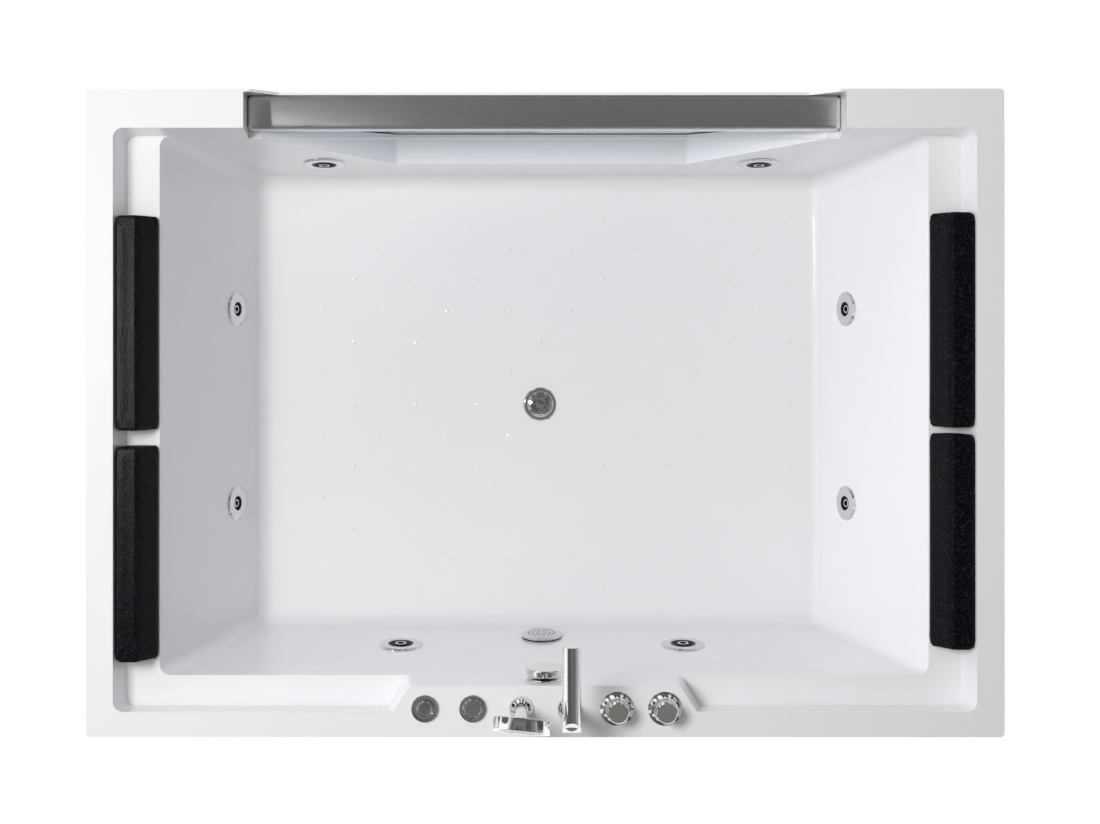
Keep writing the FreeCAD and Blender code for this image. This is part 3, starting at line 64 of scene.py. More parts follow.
# Steel frame. Square galvanised tubes, cut to length and butt-welded, stand under the shell with
# four corner posts, two at the window and two at the wall, all of them tied in under the rim.
class Wire:
    """A value in a material. Python's operators add Math nodes, node() adds any other kind."""

    def __init__(self, tree, socket=None):
        self.tree = tree
        self.socket = socket

    def node(self, kind, inputs=None, output=0, stops=(), **settings):
        """Adds a node: its settings and a ramp's stops first, then what its sockets hold."""
        node = self.tree.nodes.new(kind)
        for name, value in settings.items():
            setattr(node, name, value)
        if stops:
            ramp = node.color_ramp.elements
            ramp[0].position = stops[0][0]
            ramp[-1].position = stops[-1][0]
            for place, colour in stops[1:-1]:
                ramp.new(place)
            for element, (place, colour) in zip(ramp, stops):
                element.color = (*colour, 1.0)
        for name, value in (inputs or {}).items():
            if isinstance(value, Wire):
                self.tree.links.new(value.socket, node.inputs[name])
            else:
                node.inputs[name].default_value = value
        return Wire(self.tree, node.outputs[output])

    def maths(self, operation, first, second):
        return self.node("ShaderNodeMath", {0: first, 1: second}, operation=operation)

    def __add__(self, other):
        return self.maths("ADD", self, other)

    def __radd__(self, other):
        return self.maths("ADD", other, self)

    def __sub__(self, other):
        return self.maths("SUBTRACT", self, other)

    def __mul__(self, other):
        return self.maths("MULTIPLY", self, other)

    def __rmul__(self, other):
        return self.maths("MULTIPLY", other, self)

    def between(self, low, high):
        """0 at the low value, 1 at the high one, smooth in between."""
        inputs = {"Value": self, "From Min": low, "From Max": high}
        return self.node("ShaderNodeMapRange", inputs, interpolation_type="SMOOTHSTEP")

    def place(self, stretch=(1.0, 1.0, 1.0)):
        """Object coordinates, stretched by a scale along each axis."""
        here = self.node("ShaderNodeTexCoord", output="Object")
        return self.node("ShaderNodeMapping", {"Vector": here, "Scale": stretch})

    def noise(self, scale, detail=2.0, stretch=(1.0, 1.0, 1.0)):
        inputs = {"Vector": self.place(stretch), "Scale": scale, "Detail": detail}
        return self.node("ShaderNodeTexNoise", inputs)

    def cells(self, scale, output="Distance", stretch=(1.0, 1.0, 1.0)):
        inputs = {"Vector": self.place(stretch), "Scale": scale}
        return self.node("ShaderNodeTexVoronoi", inputs, output=output)

    def tint(self, *stops):
        """Colour of this value on a ramp of (place, colour) stops."""
        return self.node("ShaderNodeValToRGB", {0: self}, stops=stops)

    def blended(self, first, second):
        """Colour between two colours or coloured wires, by this value."""
        ends = [end if isinstance(end, Wire) else (*end, 1.0) for end in (first, second)]
        inputs = {0: self, 6: ends[0], 7: ends[1]}
        return self.node("ShaderNodeMix", inputs, output=2, data_type="RGBA")

    def into(self, name):
        shader = self.tree.nodes["Principled BSDF"]
        self.tree.links.new(self.socket, shader.inputs[name])

    def bump(self, depth):
        """Feeds this height, in parts of a depth in metres, to the shader's normal."""
        self.node("ShaderNodeBump", {"Height": self, "Distance": depth}).into("Normal")


def finish(name, **constants):
    """New material: its shader's constant sockets are set here, the rest is wired up after."""
    material = bpy.data.materials.new(name)
    material.use_nodes = True
    shader = material.node_tree.nodes["Principled BSDF"]
    for socket, value in constants.items():
        shader.inputs[socket.replace("_", " ")].default_value = value
    return material, Wire(material.node_tree)


def dress(material, *names):
    """Gives CAD nodes that keep their shape a finish."""
    for name in names:
        for slot in nodes[name].material_slots:
            slot.material = material


def merged_copy(node):
    """A node's mesh as one closed bmesh with its flat faces whole again."""
    shape = bmesh.new()
    shape.from_mesh(nodes[node].data)
    bmesh.ops.remove_doubles(shape, verts=shape.verts, dist=1e-6)
    bmesh.ops.dissolve_limit(shape, angle_limit=0.002, verts=shape.verts, edges=shape.edges)
    return shape


def piece_from(shape, name, body, slot, *materials):
    """Turns a bmesh into a smooth-shaded piece that rides on a body."""
    mesh = bpy.data.meshes.new(name)
    shape.to_mesh(mesh)
    shape.free()
    for material in materials:
        mesh.materials.append(material)
    mesh.polygons.foreach_set("use_smooth", [True] * len(mesh.polygons))
    piece = bpy.data.objects.new(name, mesh)
    bpy.context.scene.collection.objects.link(piece)
    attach(piece, body)
    return piece


def mark_creases(shape, limit=25.0):
    """Marks the edges that turn by more than a limit in degrees, and returns them."""
    creases = []
    for edge in shape.edges:
        if len(edge.link_faces) == 2 and edge.calc_face_angle() > math.radians(limit):
            edge.smooth = False
            creases.append(edge)
    return creases


def softened(node, name, body, slot, material, radius, limit=28.0):
    """A copy of a node with its edges rounded off, which stands for it."""
    shape = merged_copy(node)
    mark_creases(shape, limit)
    piece = piece_from(shape, name, body, slot, material)
    rounding = piece.modifiers.new("rounding", "BEVEL")
    rounding.limit_method = "ANGLE"
    rounding.angle_limit = math.radians(limit)
    rounding.width = radius
    rounding.segments = 2
    rounding.harden_normals = True
    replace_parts(piece, node)
    return piece


galvanised, wire = finish("galvanised_tube", Metallic=0.85)
flake = wire.cells(160.0, output="Color")
spangle = wire.node("ShaderNodeSeparateColor", {0: flake})
dust = wire.noise(14.0, 5.0)
spangle.blended((0.40, 0.41, 0.42), (0.56, 0.57, 0.58)).into("Base Color")
(0.34 + 0.16 * spangle + 0.14 * dust).into("Roughness")
(0.6 * spangle + 0.4 * wire.noise(60.0, 3.0)).bump(0.0003)
softened("frame_rails", "rails", "tub", "frame_steel", galvanised, 0.0022)
softened("frame_posts", "posts", "tub", "frame_steel", galvanised, 0.002)

# Feet. A zinc-plated stud with a rolled thread is welded up into the rail by its hexagon and
# stands in the socket of a moulded rubber pad.
MM = 0.001
FOOT_PLACES = [(x, y) for x in (-0.66, 0.66) for y in (-0.53, 0.53)]
FOOT_PLACES += [(x, y) for x in (-0.33, 0.33) for y in (-0.33, 0.345)]


def turned(rows, steps=64):
    """Solid of revolution about Z from (radius, height) pairs in millimetres, ends on the axis."""
    shape = bmesh.new()
    line = [shape.verts.new((radius * MM, 0, height * MM)) for radius, height in rows]
    edges = [shape.edges.new(pair) for pair in zip(line, line[1:])]
    bmesh.ops.spin(shape, geom=line + edges, axis=(0, 0, 1), cent=(0, 0, 0), steps=steps,
                   angle=2 * math.pi, use_merge=True)
    bmesh.ops.remove_doubles(shape, verts=shape.verts, dist=1e-6)
    bmesh.ops.recalc_face_normals(shape, faces=shape.faces)
    return shape


def rounded(shape, radius, limit=28.0):
    """Rounds off every edge that turns by more than a limit, and marks what stays sharp."""
    bmesh.ops.bevel(shape, geom=mark_creases(shape, limit), offset=radius * MM, segments=3,
                    profile=0.5, affect="EDGES", material=-1, clamp_overlap=True)
    for edge in shape.edges:
        edge.smooth = True
    mark_creases(shape, 50.0)
    return shape


def add_copy(shape, part, matrix):
    """Adds a bmesh, put in place by a matrix, to another one."""
    mesh = bpy.data.meshes.new("copy")
    part.to_mesh(mesh)
    mesh.transform(matrix)
    shape.from_mesh(mesh)
    bpy.data.meshes.remove(mesh)


plated, wire = finish("zinc_plate", Metallic=1.0)
haze = wire.noise(40.0, 4.0)
haze.blended((0.50, 0.49, 0.45), (0.62, 0.62, 0.60)).into("Base Color")
(0.28 + 0.2 * wire.noise(90.0, 3.0)).into("Roughness")
wire.noise(300.0, 2.0).bump(0.0001)

THREAD_ROOT, THREAD_CREST, THREAD_PITCH = 5.2, 6.0, 1.75
HEXAGON_HEIGHT, HEXAGON_RADIUS = 10.0, 10.97
stud_low, stud_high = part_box("foot_studs")
thread_top = stud_high.z / MM - HEXAGON_HEIGHT
height = stud_low.z / MM
rows = [(0, height)]
while height < thread_top - THREAD_PITCH:
    rows += [(THREAD_ROOT, height), (THREAD_CREST, height + THREAD_PITCH / 2)]
    height += THREAD_PITCH
rows += [(THREAD_ROOT, height), (THREAD_CREST, thread_top), (0, thread_top)]
stud = turned(rows, 20)
hexagon = bmesh.new()
bmesh.ops.create_cone(hexagon, cap_ends=True, segments=6, radius1=HEXAGON_RADIUS * MM,
                      radius2=HEXAGON_RADIUS * MM, depth=HEXAGON_HEIGHT * MM)
rounded(hexagon, 0.6)
hexagon_place = Matrix.Translation((0, 0, (thread_top + HEXAGON_HEIGHT / 2) * MM))
add_copy(stud, hexagon, hexagon_place @ Matrix.Rotation(math.radians(30), 4, "Z"))
studs = bmesh.new()
for x, y in FOOT_PLACES:
    add_copy(studs, stud, Matrix.Translation((x, y, 0)))
stud.free()
hexagon.free()
mark_creases(studs, 40.0)
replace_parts(piece_from(studs, "studs", "tub", "zinc_steel", plated), "foot_studs")

rubber_black, wire = finish("pad_rubber")
wire.noise(30.0, 4.0).blended((0.018, 0.018, 0.019), (0.035, 0.035, 0.036)).into("Base Color")
(0.62 + 0.2 * wire.noise(60.0, 3.0)).into("Roughness")
wire.cells(700.0).bump(0.0002)
pads = bmesh.new()
pad_rows = [(0, 0), (27, 0), (30, 1.5), (30, 4), (28, 4.6), (28, 5.4), (25.5, 6.2), (24, 6.8), (24, 7.4),
            (12, 12), (6.1, 12), (6.1, 6), (0, 6)]
pad = rounded(turned(pad_rows, 48), 0.4)
for x, y in FOOT_PLACES:
    add_copy(pads, pad, Matrix.Translation((x, y, 0)))
pad.free()
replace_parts(piece_from(pads, "pads", "tub", "black_plastic", rubber_black), "foot_pads")

# Floor boards. Two sheets of flake board spread the bather's weight over the rails; they are laid
# under the basin, a gap for the trap between them, before the shell is bonded down on them.
board, wire = finish("flake_board", Roughness=0.75)
flakes = wire.cells(55.0, output="Color", stretch=(1.0, 2.6, 1.0))
chips = wire.node("ShaderNodeSeparateColor", {0: flakes})
fibre = wire.noise(90.0, 5.0, stretch=(0.4, 2.0, 1.0))
wood = (0.7 * chips + 0.3 * fibre)
wood.tint((0.15, (0.24, 0.14, 0.07)), (0.5, (0.42, 0.28, 0.15)),
          (0.85, (0.58, 0.42, 0.25))).into("Base Color")
(0.6 * chips + 0.4 * fibre).bump(0.0006)
softened("floor_board", "board", "tub", "board", board, 0.001)

# Tub shell. Vacuum-formed acrylic sheet, glossy on its face and stiffened behind with chopped
# glass in resin: rim, ledge, basin, tap deck and window surround are one moulding, its edges soft.
LEDGE = 0.535
TAP_X = [0.0888 * step for step in (-2.5, -1.5, -0.5, 0.5, 1.5, 2.5)]
TAP_Y = -0.547
TAP_HOLE_REACH = 0.022
DECK_HALF, DECK_EDGE = 0.285, -0.49
WIDEST_ROUND = 0.016


def glossy_acrylic(name, colour, shade):
    """White sheet: faint drawing marks, a trace of haze and a clear gloss over it."""
    material, wire = finish(name, Coat_Roughness=0.03, Coat_IOR=1.49, Subsurface_Weight=0.0)
    cloud = wire.noise(2.2, 3.0)
    speck = wire.noise(420.0, 2.0).between(0.68, 0.80)
    speck.blended(cloud.blended(colour, shade), [0.93 * part for part in shade]).into("Base Color")
    (0.15 + 0.12 * wire.noise(9.0, 4.0)).into("Roughness")
    (0.5 + 0.3 * wire.noise(3.0, 1.0)).into("Coat Weight")
    (0.8 * wire.noise(5.0, 1.0) + 0.2 * wire.noise(38.0, 2.0)).bump(0.0015)
    return material


acrylic = glossy_acrylic("white_acrylic", (0.92, 0.92, 0.935), (0.905, 0.91, 0.925))

glass_resin, wire = finish("glass_and_resin", Coat_Weight=0.15, Coat_Roughness=0.3)
strands = wire.cells(70.0, stretch=(1.0, 5.0, 1.0)) * wire.cells(70.0, stretch=(5.0, 1.0, 3.0))
blotch = wire.noise(7.0, 5.0)
blotch.blended((0.52, 0.50, 0.40), (0.66, 0.64, 0.54)).into("Base Color")
(0.38 + 0.3 * strands + 0.15 * blotch).into("Roughness")
(0.7 * strands + 0.3 * wire.noise(25.0, 5.0)).bump(0.003)


def edge_round(low, high):
    """Radius that the edge between two points of the shell is rounded to, 0 where it stays."""
    middle = (low + high) / 2
    x, y, z = abs(middle.x), middle.y, middle.z
    if min(math.hypot(middle.x - tap, y - TAP_Y) for tap in TAP_X) < TAP_HOLE_REACH:
        return 0.0
    on_deck = x < DECK_HALF and y < DECK_EDGE
    if z > RIM - 0.001:
        if x > 0.83 or y < -0.58 or y > 0.58:
            return 0.007
        if on_deck:
            return 0.008
        return 0.010
    if abs(z - LEDGE) < 0.001:
        if x > 0.775 or y < -0.545 or y > 0.515:
            return 0.006
        if on_deck:
            return 0.003
        return WIDEST_ROUND
    return 0.0


shell = merged_copy("tub_shell")
weight = shell.edges.layers.float.new("bevel_weight_edge")
for edge in mark_creases(shell):
    edge[weight] = edge_round(edge.verts[0].co, edge.verts[1].co) / WIDEST_ROUND
for face in shell.faces:
    middle = face.calc_center_median()
    below_trough = middle.y > 0.585 and middle.z < 0.509
    at_lip = abs(middle.x) > 0.835 or middle.y < -0.585 or below_trough
    inner_lip = face.normal.dot(middle) < 0 and at_lip
    if face.normal.z < -0.04 or (abs(face.normal.z) < 0.04 and inner_lip):
        face.material_index = 1
tub = piece_from(shell, "tub", "tub", "acrylic", acrylic, glass_resin)
rounding = tub.modifiers.new("rounding", "BEVEL")
rounding.limit_method = "WEIGHT"
rounding.width = WIDEST_ROUND
rounding.segments = 4
rounding.harden_normals = True
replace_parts(tub, "tub_shell")

# Anti-slip dots. Low domes moulded into the floor in a staggered pattern, none at the drain.
DOT_STEP = 64
DRAIN_CLEARANCE = 0.07
BASIN_FLOOR = 0.170
dots = bmesh.new()
dot = turned([(0, -0.4), (4.6, -0.4), (4.2, 0.25), (3.2, 0.75), (1.7, 1.08), (0, 1.2)], 14)
for across in range(-8, 9):
    for up in range(-6, 7):
        x, y = across * DOT_STEP * MM, up * DOT_STEP * MM
        if (across + up) % 2 == 0 and math.hypot(x, y) > DRAIN_CLEARANCE:
            add_copy(dots, dot, Matrix.Translation((x, y, BASIN_FLOOR)))
dot.free()
piece_from(dots, "floor_dots", "tub", "acrylic", acrylic)

# Jets. A chromed flange clamps the wall against a nut behind it; in its dark dish sits an
# eyeball nozzle. Four small ones are in the ends, four wide ones under the window and the taps.
LEANS = {"end": 0.41644, "front": 61 / 430, "tap": 56.5 / 430}
JETS = [("left", 0.195), ("left", -0.195), ("right", 0.195), ("right", -0.195),
        ("front", -0.433), ("front", 0.433), ("tap", -0.279), ("tap", 0.279)]
JET_HEIGHTS = {"left": 0.270, "right": 0.270, "front": 0.305, "tap": 0.337}
SMALL_DISH, WIDE_DISH, DISH_DEPTH = 0.0145, 0.0250, 0.045


def wall_point(side, along, height):
    """Point on one of the basin's walls and the wall's normal into the basin."""
    rise = height - BASIN_FLOOR
    if side == "left" or side == "right":
        sign = -1 if side == "left" else 1
        return Vector((sign * (0.571 + LEANS["end"] * rise), along, height)), Vector(
            (-sign, 0, LEANS["end"])).normalized()
    if side == "front":
        return Vector((along, 0.466 + LEANS["front"] * rise, height)), Vector(
            (0, -1, LEANS["front"])).normalized()
    return Vector((along, -0.448 - LEANS["tap"] * rise, height)), Vector(
        (0, 1, LEANS["tap"])).normalized()


def on_wall(point, normal):
    """Matrix that puts a piece made about Z on a wall, its own +Y as far up as it can point."""
    up = (Vector((0, 0, 1)) - normal * normal.z).normalized()
    turn = Matrix((up.cross(normal), up, normal)).transposed()
    return Matrix.Translation(point) @ turn.to_4x4()


def chromed(name, colour, roughness):
    """Bright plating: nearly a mirror, with faint wiping marks and soft polishing waves."""
    material, wire = finish(name, Metallic=1.0)
    wiped = wire.noise(22.0, 4.0, stretch=(1.0, 3.0, 1.0))
    wiped.blended(colour, [0.93 * part for part in colour]).into("Base Color")
    (roughness + 0.05 * wiped).into("Roughness")
    wire.noise(40.0, 1.0).bump(0.00002)
    return material


chrome = chromed("chrome_plate", (0.86, 0.86, 0.85), 0.02)
jet_chrome = chromed("jet_chrome", (0.71, 0.72, 0.75), 0.09)

dish_black, wire = finish("dish_black")
wire.noise(80.0, 3.0).blended((0.006, 0.006, 0.008), (0.014, 0.014, 0.017)).into("Base Color")
(0.22 + 0.2 * wire.noise(120.0, 3.0)).into("Roughness")
wire.cells(900.0).bump(0.0001)

barrel_white, wire = finish("barrel_plastic")
wire.noise(25.0, 4.0).blended((0.66, 0.66, 0.63), (0.74, 0.74, 0.71)).into("Base Color")
(0.36 + 0.2 * wire.noise(70.0, 3.0)).into("Roughness")
(wire.noise(200.0, 3.0) * 0.5 + 0.5 * wire.noise(20.0, 2.0)).bump(0.0002)

for number, (side, along) in enumerate(JETS, 1):
    dish = WIDE_DISH if side in ("front", "tap") else SMALL_DISH
    point, normal = wall_point(side, along, JET_HEIGHTS[side])
    housing = merged_copy("jet_housing_%d" % number)
    for face in housing.faces:
        offsets = [vert.co - point for vert in face.verts]
        depth = sum(offset.dot(normal) for offset in offsets) / len(offsets)
        radius = max((offset - normal * offset.dot(normal)).length for offset in offsets)
        if radius < dish + 0.0002 and depth > -DISH_DEPTH:
            face.material_index = 1
        elif depth < -0.0005:
            face.material_index = 2
    mark_creases(housing)
    piece = piece_from(housing, "jet_%d" % number, "tub", "jet_chrome", jet_chrome, dish_black,
                       barrel_white)
    rounding = piece.modifiers.new("rounding", "BEVEL")
    rounding.limit_method = "ANGLE"
    rounding.angle_limit = math.radians(28)
    rounding.width = 0.0007
    rounding.segments = 2
    rounding.harden_normals = True
    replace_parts(piece, "jet_housing_%d" % number)
    softened("jet_nozzle_%d" % number, "eyeball_%d" % number, "nozzle_%d" % number, "jet_chrome",
             chrome, 0.0006)

nut_plastic, wire = finish("nut_plastic")
wire.noise(30.0, 4.0).blended((0.60, 0.60, 0.58), (0.70, 0.70, 0.68)).into("Base Color")
(0.45 + 0.15 * wire.noise(60.0, 3.0)).into("Roughness")
wire.noise(240.0, 2.0).bump(0.0002)
softened("jet_nuts", "nuts", "tub", "white_plastic", nut_plastic, 0.0012)

# Water and air lines. White pressure pipe in a ring round the basin feeds every jet's lower
# port, and a thin clear hose above it feeds the air ports; both are solvent-welded.
pipe_white, wire = finish("pressure_pipe", Coat_Weight=0.25, Coat_Roughness=0.2)
scuff = wire.noise(9.0, 6.0, stretch=(1.0, 1.0, 3.0))
scuff.blended((0.68, 0.69, 0.68), (0.78, 0.79, 0.78)).into("Base Color")
(0.28 + 0.22 * scuff).into("Roughness")
(0.5 * scuff + 0.5 * wire.noise(150.0, 2.0)).bump(0.0003)
hose_clear, wire = finish("air_hose", Transmission_Weight=0.35, IOR=1.45)
wire.noise(18.0, 4.0).blended((0.60, 0.66, 0.68), (0.72, 0.77, 0.78)).into("Base Color")
(0.2 + 0.15 * wire.noise(50.0, 3.0)).into("Roughness")
wire.noise(90.0, 2.0).bump(0.0004)
dress(pipe_white, "water_pipes", "drain_trap", "overflow_pipe")
dress(hose_clear, "air_pipes")

# Pump. A black moulded wet end is bolted to a finned, painted motor; both sit on a zinc-plated
# base plate that bridges two of the frame's rails.
volute_black, wire = finish("volute_plastic")
wire.noise(40.0, 4.0).blended((0.015, 0.015, 0.017), (0.03, 0.03, 0.033)).into("Base Color")
(0.38 + 0.2 * wire.noise(120.0, 3.0)).into("Roughness")
wire.noise(600.0, 2.0).bump(0.0002)
motor_paint, wire = finish("motor_paint", Coat_Weight=0.2, Coat_Roughness=0.25)
speckle = wire.noise(260.0, 3.0)
speckle.blended((0.055, 0.075, 0.11), (0.085, 0.11, 0.15)).into("Base Color")
(0.42 + 0.18 * speckle).into("Roughness")
speckle.bump(0.0004)
softened("pump_volute", "wet_end", "tub", "black_plastic", volute_black, 0.0015)
softened("pump_motor", "motor", "tub", "motor_paint", motor_paint, 0.0008)
softened("pump_base", "base_plate", "tub", "zinc_steel", plated, 0.0008)

# Suction. A chromed dome with rings of round holes keeps hair and fingers out of the cup behind
# it, and white pressure pipe runs from it to the pump. Behind the holes the cup is black: painted shade.
SUCTION_HEIGHT = 0.280
PAINTED_SHADE_REACH = 0.045
point, normal = wall_point("tap", 0.0, SUCTION_HEIGHT)
cup = merged_copy("suction_body")
# Faces near the grille's axis get the black plastic: painted shade seen through the holes.
for face in cup.faces:
    offset = face.calc_center_median() - point
    if (offset - normal * offset.dot(normal)).length < PAINTED_SHADE_REACH:
        face.material_index = 1
mark_creases(cup)
suction = piece_from(cup, "suction_line", "tub", "pipe_plastic", pipe_white, volute_black)
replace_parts(suction, "suction_body")
softened("suction_cover", "suction_grille", "tub", "jet_chrome", jet_chrome, 0.0005)

# Drain and overflow. The ring in the floor and the plate on the wall are chromed brass. The
# round knob turns on its shaft and lifts the domed plug through a sheathed cable.
DRAIN_PLACE = Matrix.Translation((0, 0, BASIN_FLOOR))
softened("drain_flange", "drain_ring", "tub", "chrome", chrome, 0.0006)
plug = turned([(0, -31.5), (4, -31.5), (4, 3.4), (26.0, 3.4), (26.5, 4.0), (26.5, 5.6), (25.6, 6.6),
               (23.4, 7.0), (22.6, 7.5), (20.5, 8.6), (17.2, 9.7), (13.0, 10.6), (8.6, 11.15),
               (4.2, 11.42), (0, 11.5)], 72)
bmesh.ops.transform(plug, matrix=DRAIN_PLACE, verts=plug.verts)
mark_creases(plug, 40.0)
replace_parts(piece_from(plug, "plug", "drain_plug", "chrome", chrome), "drain_plug")

OVERFLOW_HEIGHT = 0.552
point, normal = wall_point("tap", 0.0, OVERFLOW_HEIGHT)
plate = rounded(turned([(6.3, 0), (36.5, 0), (36.5, 2.2), (34.5, 4), (9, 4), (8, 3.4), (6.3, 3.4),
                        (6.3, 0)]), 0.5)
bmesh.ops.transform(plate, matrix=on_wall(point, normal), verts=plate.verts)
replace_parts(piece_from(plate, "overflow_rosette", "tub", "chrome", chrome), "overflow_plate")
softened("overflow_knob", "turning_knob", "overflow_knob", "chrome", chrome, 0.0007)
sheath, wire = finish("cable_sheath")
wire.noise(60.0, 3.0).blended((0.03, 0.03, 0.032), (0.06, 0.06, 0.065)).into("Base Color")
(0.5 + 0.15 * wire.noise(90.0, 3.0)).into("Roughness")
wire.noise(400.0, 2.0).bump(0.0002)
dress(sheath, "drain_cable")

# Skirts. Flat acrylic panels, glossy like the tub, hang under the rim's lip in front and at both
# ends and are screwed to the frame's lower rails with raised-head screws.
skirt_acrylic = glossy_acrylic("skirt_acrylic", (0.86, 0.86, 0.875), (0.84, 0.845, 0.86))
for name in ("skirt_front", "skirt_left", "skirt_right"):
    softened(name, name.replace("skirt", "panel"), "tub", "skirt_acrylic", skirt_acrylic, 0.0012)
softened("skirt_screws", "screws", "tub", "zinc_steel", plated, 0.0003)

# Window. A toughened pane stands on a rubber seal behind the shell's flange and is clamped by a
# trim frame; its top edge is covered by a brushed stainless channel with rounded corners.
clear_glass, wire = finish("window_glass", IOR=1.5)
film = wire.noise(3.0, 3.0)
film.blended((0.30, 0.52, 0.72), (0.36, 0.58, 0.78)).into("Base Color")
(0.01 + 0.02 * film).into("Roughness")
(0.26 + 0.06 * film).into("Alpha")
film.bump(0.0002)
seal, wire = finish("seal_rubber")
wire.noise(40.0, 4.0).blended((0.03, 0.03, 0.032), (0.06, 0.06, 0.062)).into("Base Color")
(0.55 + 0.15 * wire.noise(80.0, 2.0)).into("Roughness")
wire.cells(800.0).bump(0.0001)
softened("window_glass", "pane", "tub", "window_glass", clear_glass, 0.0008)
softened("window_gasket", "seal", "tub", "seal_rubber", seal, 0.0006)

brushed, wire = finish("brushed_steel", Metallic=1.0)
hairline = wire.noise(30.0, 6.0, stretch=(0.35, 26.0, 26.0))
smear = wire.noise(3.0, 3.0, stretch=(1.0, 4.0, 1.0))
(0.65 * hairline + 0.35 * smear).blended((0.73, 0.735, 0.73), (0.93, 0.93, 0.92)).into("Base Color")
(0.20 + 0.16 * hairline + 0.06 * smear).into("Roughness")
hairline.bump(0.00012)
softened("window_frame", "trim", "tub", "rail_steel", brushed, 0.0008)

RAIL_LOW, RAIL_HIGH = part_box("window_rail")
RAIL_CORNER, RAIL_FOLD, RAIL_SHEET = 0.010, 0.0085, 0.0025
rail = bmesh.new()
bmesh.ops.create_cube(rail, size=1.0)
bmesh.ops.scale(rail, vec=RAIL_HIGH - RAIL_LOW, verts=rail.verts)
bmesh.ops.translate(rail, vec=(RAIL_HIGH + RAIL_LOW) / 2, verts=rail.verts)
upright = [edge for edge in rail.edges if abs(edge.verts[0].co.z - edge.verts[1].co.z) > 0.01]
bmesh.ops.bevel(rail, geom=upright, offset=RAIL_CORNER, segments=6, profile=0.5, affect="EDGES",
                material=-1)
around = [edge for edge in rail.edges if min(vert.co.z for vert in edge.verts) > RAIL_HIGH.z - 1e-5]
bmesh.ops.bevel(rail, geom=around, offset=RAIL_FOLD, segments=8, profile=0.5, affect="EDGES",
                material=-1)
under = [face for face in rail.faces if face.normal.z < -0.9]
bmesh.ops.delete(rail, geom=under, context="FACES")
capping = piece_from(rail, "capping_rail", "tub", "rail_steel", brushed)
folded = capping.modifiers.new("sheet", "SOLIDIFY")
folded.thickness = RAIL_SHEET
folded.offset = -1.0
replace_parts(capping, "window_rail")

# Air button and air dial. Each is a flat chromed flange on the deck with a shank below it; the
# button is pressed into its well, and the dial turns on it.
SHANK = [(0, -46), (17, -46), (17, 0)]


def on_deck(shape, index, name, body, *replaced):
    """Puts a piece made about Z over one of the deck's six holes."""
    bmesh.ops.transform(shape, matrix=Matrix.Translation((TAP_X[index], TAP_Y, RIM)), verts=shape.verts)
    piece = piece_from(shape, name, body, "chrome", chrome)
    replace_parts(piece, *replaced)
    return piece


def with_nib(shape, x, y, z, radius):
    """Adds the small round nib that marks a flange's edge."""
    nib = bmesh.new()
    bmesh.ops.create_uvsphere(nib, u_segments=16, v_segments=8, radius=radius * MM)
    add_copy(shape, nib, Matrix.Translation((x * MM, y * MM, z * MM)))
    nib.free()
    return shape


button_flange = rounded(turned(SHANK + [(25.5, 0), (25.5, 3.3), (24.8, 4), (15.4, 4), (14.3, 3.2),
                                        (14.3, -8.6), (0, -8.6)]), 0.35)
on_deck(with_nib(button_flange, -20.4, 13.6, 3.2, 1.6), 0, "button_flange", "tub", "air_button_body")
button = rounded(turned([(0, -3.7), (14, -3.7), (14, 4.3), (13.2, 5.0), (11.8, 5.0), (11.2, 4.6),
                         (10.4, 4.6), (0, 4.5)]), 0.25)
on_deck(button, 0, "button", "air_button", "air_button")
dial_flange = rounded(turned(SHANK + [(25.5, 0), (25.5, 3.3), (24.8, 4), (19.6, 4), (18.8, 3.2),
                                      (18.8, 2), (0, 2)]), 0.35)
on_deck(with_nib(dial_flange, -20.9, 13.9, 3.2, 1.6), 1, "dial_flange", "tub", "air_dial_body")
dial = rounded(turned([(0, 2.3), (18.5, 2.3), (18.5, 4.2), (17.6, 5.0), (15.4, 5.0), (14.8, 4.5),
                       (14.0, 4.5), (0, 4.4)]), 0.25)
pointer = bmesh.new()
bmesh.ops.create_cube(pointer, size=1.0)
bmesh.ops.scale(pointer, vec=(27.0 * MM, 1.5 * MM, 1.2 * MM), verts=pointer.verts)
rounded(pointer, 0.3)
add_copy(dial, pointer, Matrix.Translation((0, 0, 4.6 * MM)))
pointer.free()
on_deck(with_nib(dial, -11.1, 9.3, 5.0, 1.7), 1, "dial", "air_dial", "air_dial")

# Hand shower. Its round head is set across the top of a swelling handle that drops into a domed
# holder; the spray plate, tilted away from the bather, is white with soft nozzles.
holder_rows = [(10.3, -46), (17, -46), (17, 0), (23, 0), (23, 3), (22.2, 5.2), (20.4, 8.0), (17.9, 11.0),
               (15.4, 13.6), (13.6, 16), (10.3, 16), (10.3, -46)]
on_deck(rounded(turned(holder_rows), 0.5, limit=35.0), 2, "holder", "tub", "shower_holder")

HEAD_TILT, HEAD_YAW = math.radians(14), math.radians(6)
HEAD_MIDDLE = Vector((0, 0, 167 * MM))
facing = Vector((-math.sin(HEAD_YAW) * math.cos(HEAD_TILT), -math.cos(HEAD_YAW) * math.cos(HEAD_TILT),
                 math.sin(HEAD_TILT)))
head_place = on_wall(HEAD_MIDDLE, facing)
hand_shower = turned([(0, -14), (10, -14), (10, 17), (10.6, 20), (11.4, 24), (11.5, 40), (11.4, 70),
                      (10.8, 95), (10.1, 115), (9.6, 126), (9.6, 150), (0, 150)], 40)
rounded(hand_shower, 0.6, limit=35.0)
head = rounded(turned([(0, -10), (26, -10.6), (46, -11.4), (49.8, -11.8), (50.9, -10.6), (50.9, 10.8),
                       (50, 11.8), (45.5, 11.8), (44.8, 11), (0, 11)], 96), 0.6, limit=35.0)
for face in head.faces:
    middle = face.calc_center_median()
    if middle.z > 10.5 * MM and middle.xy.length < 44.7 * MM:
        face.material_index = 1
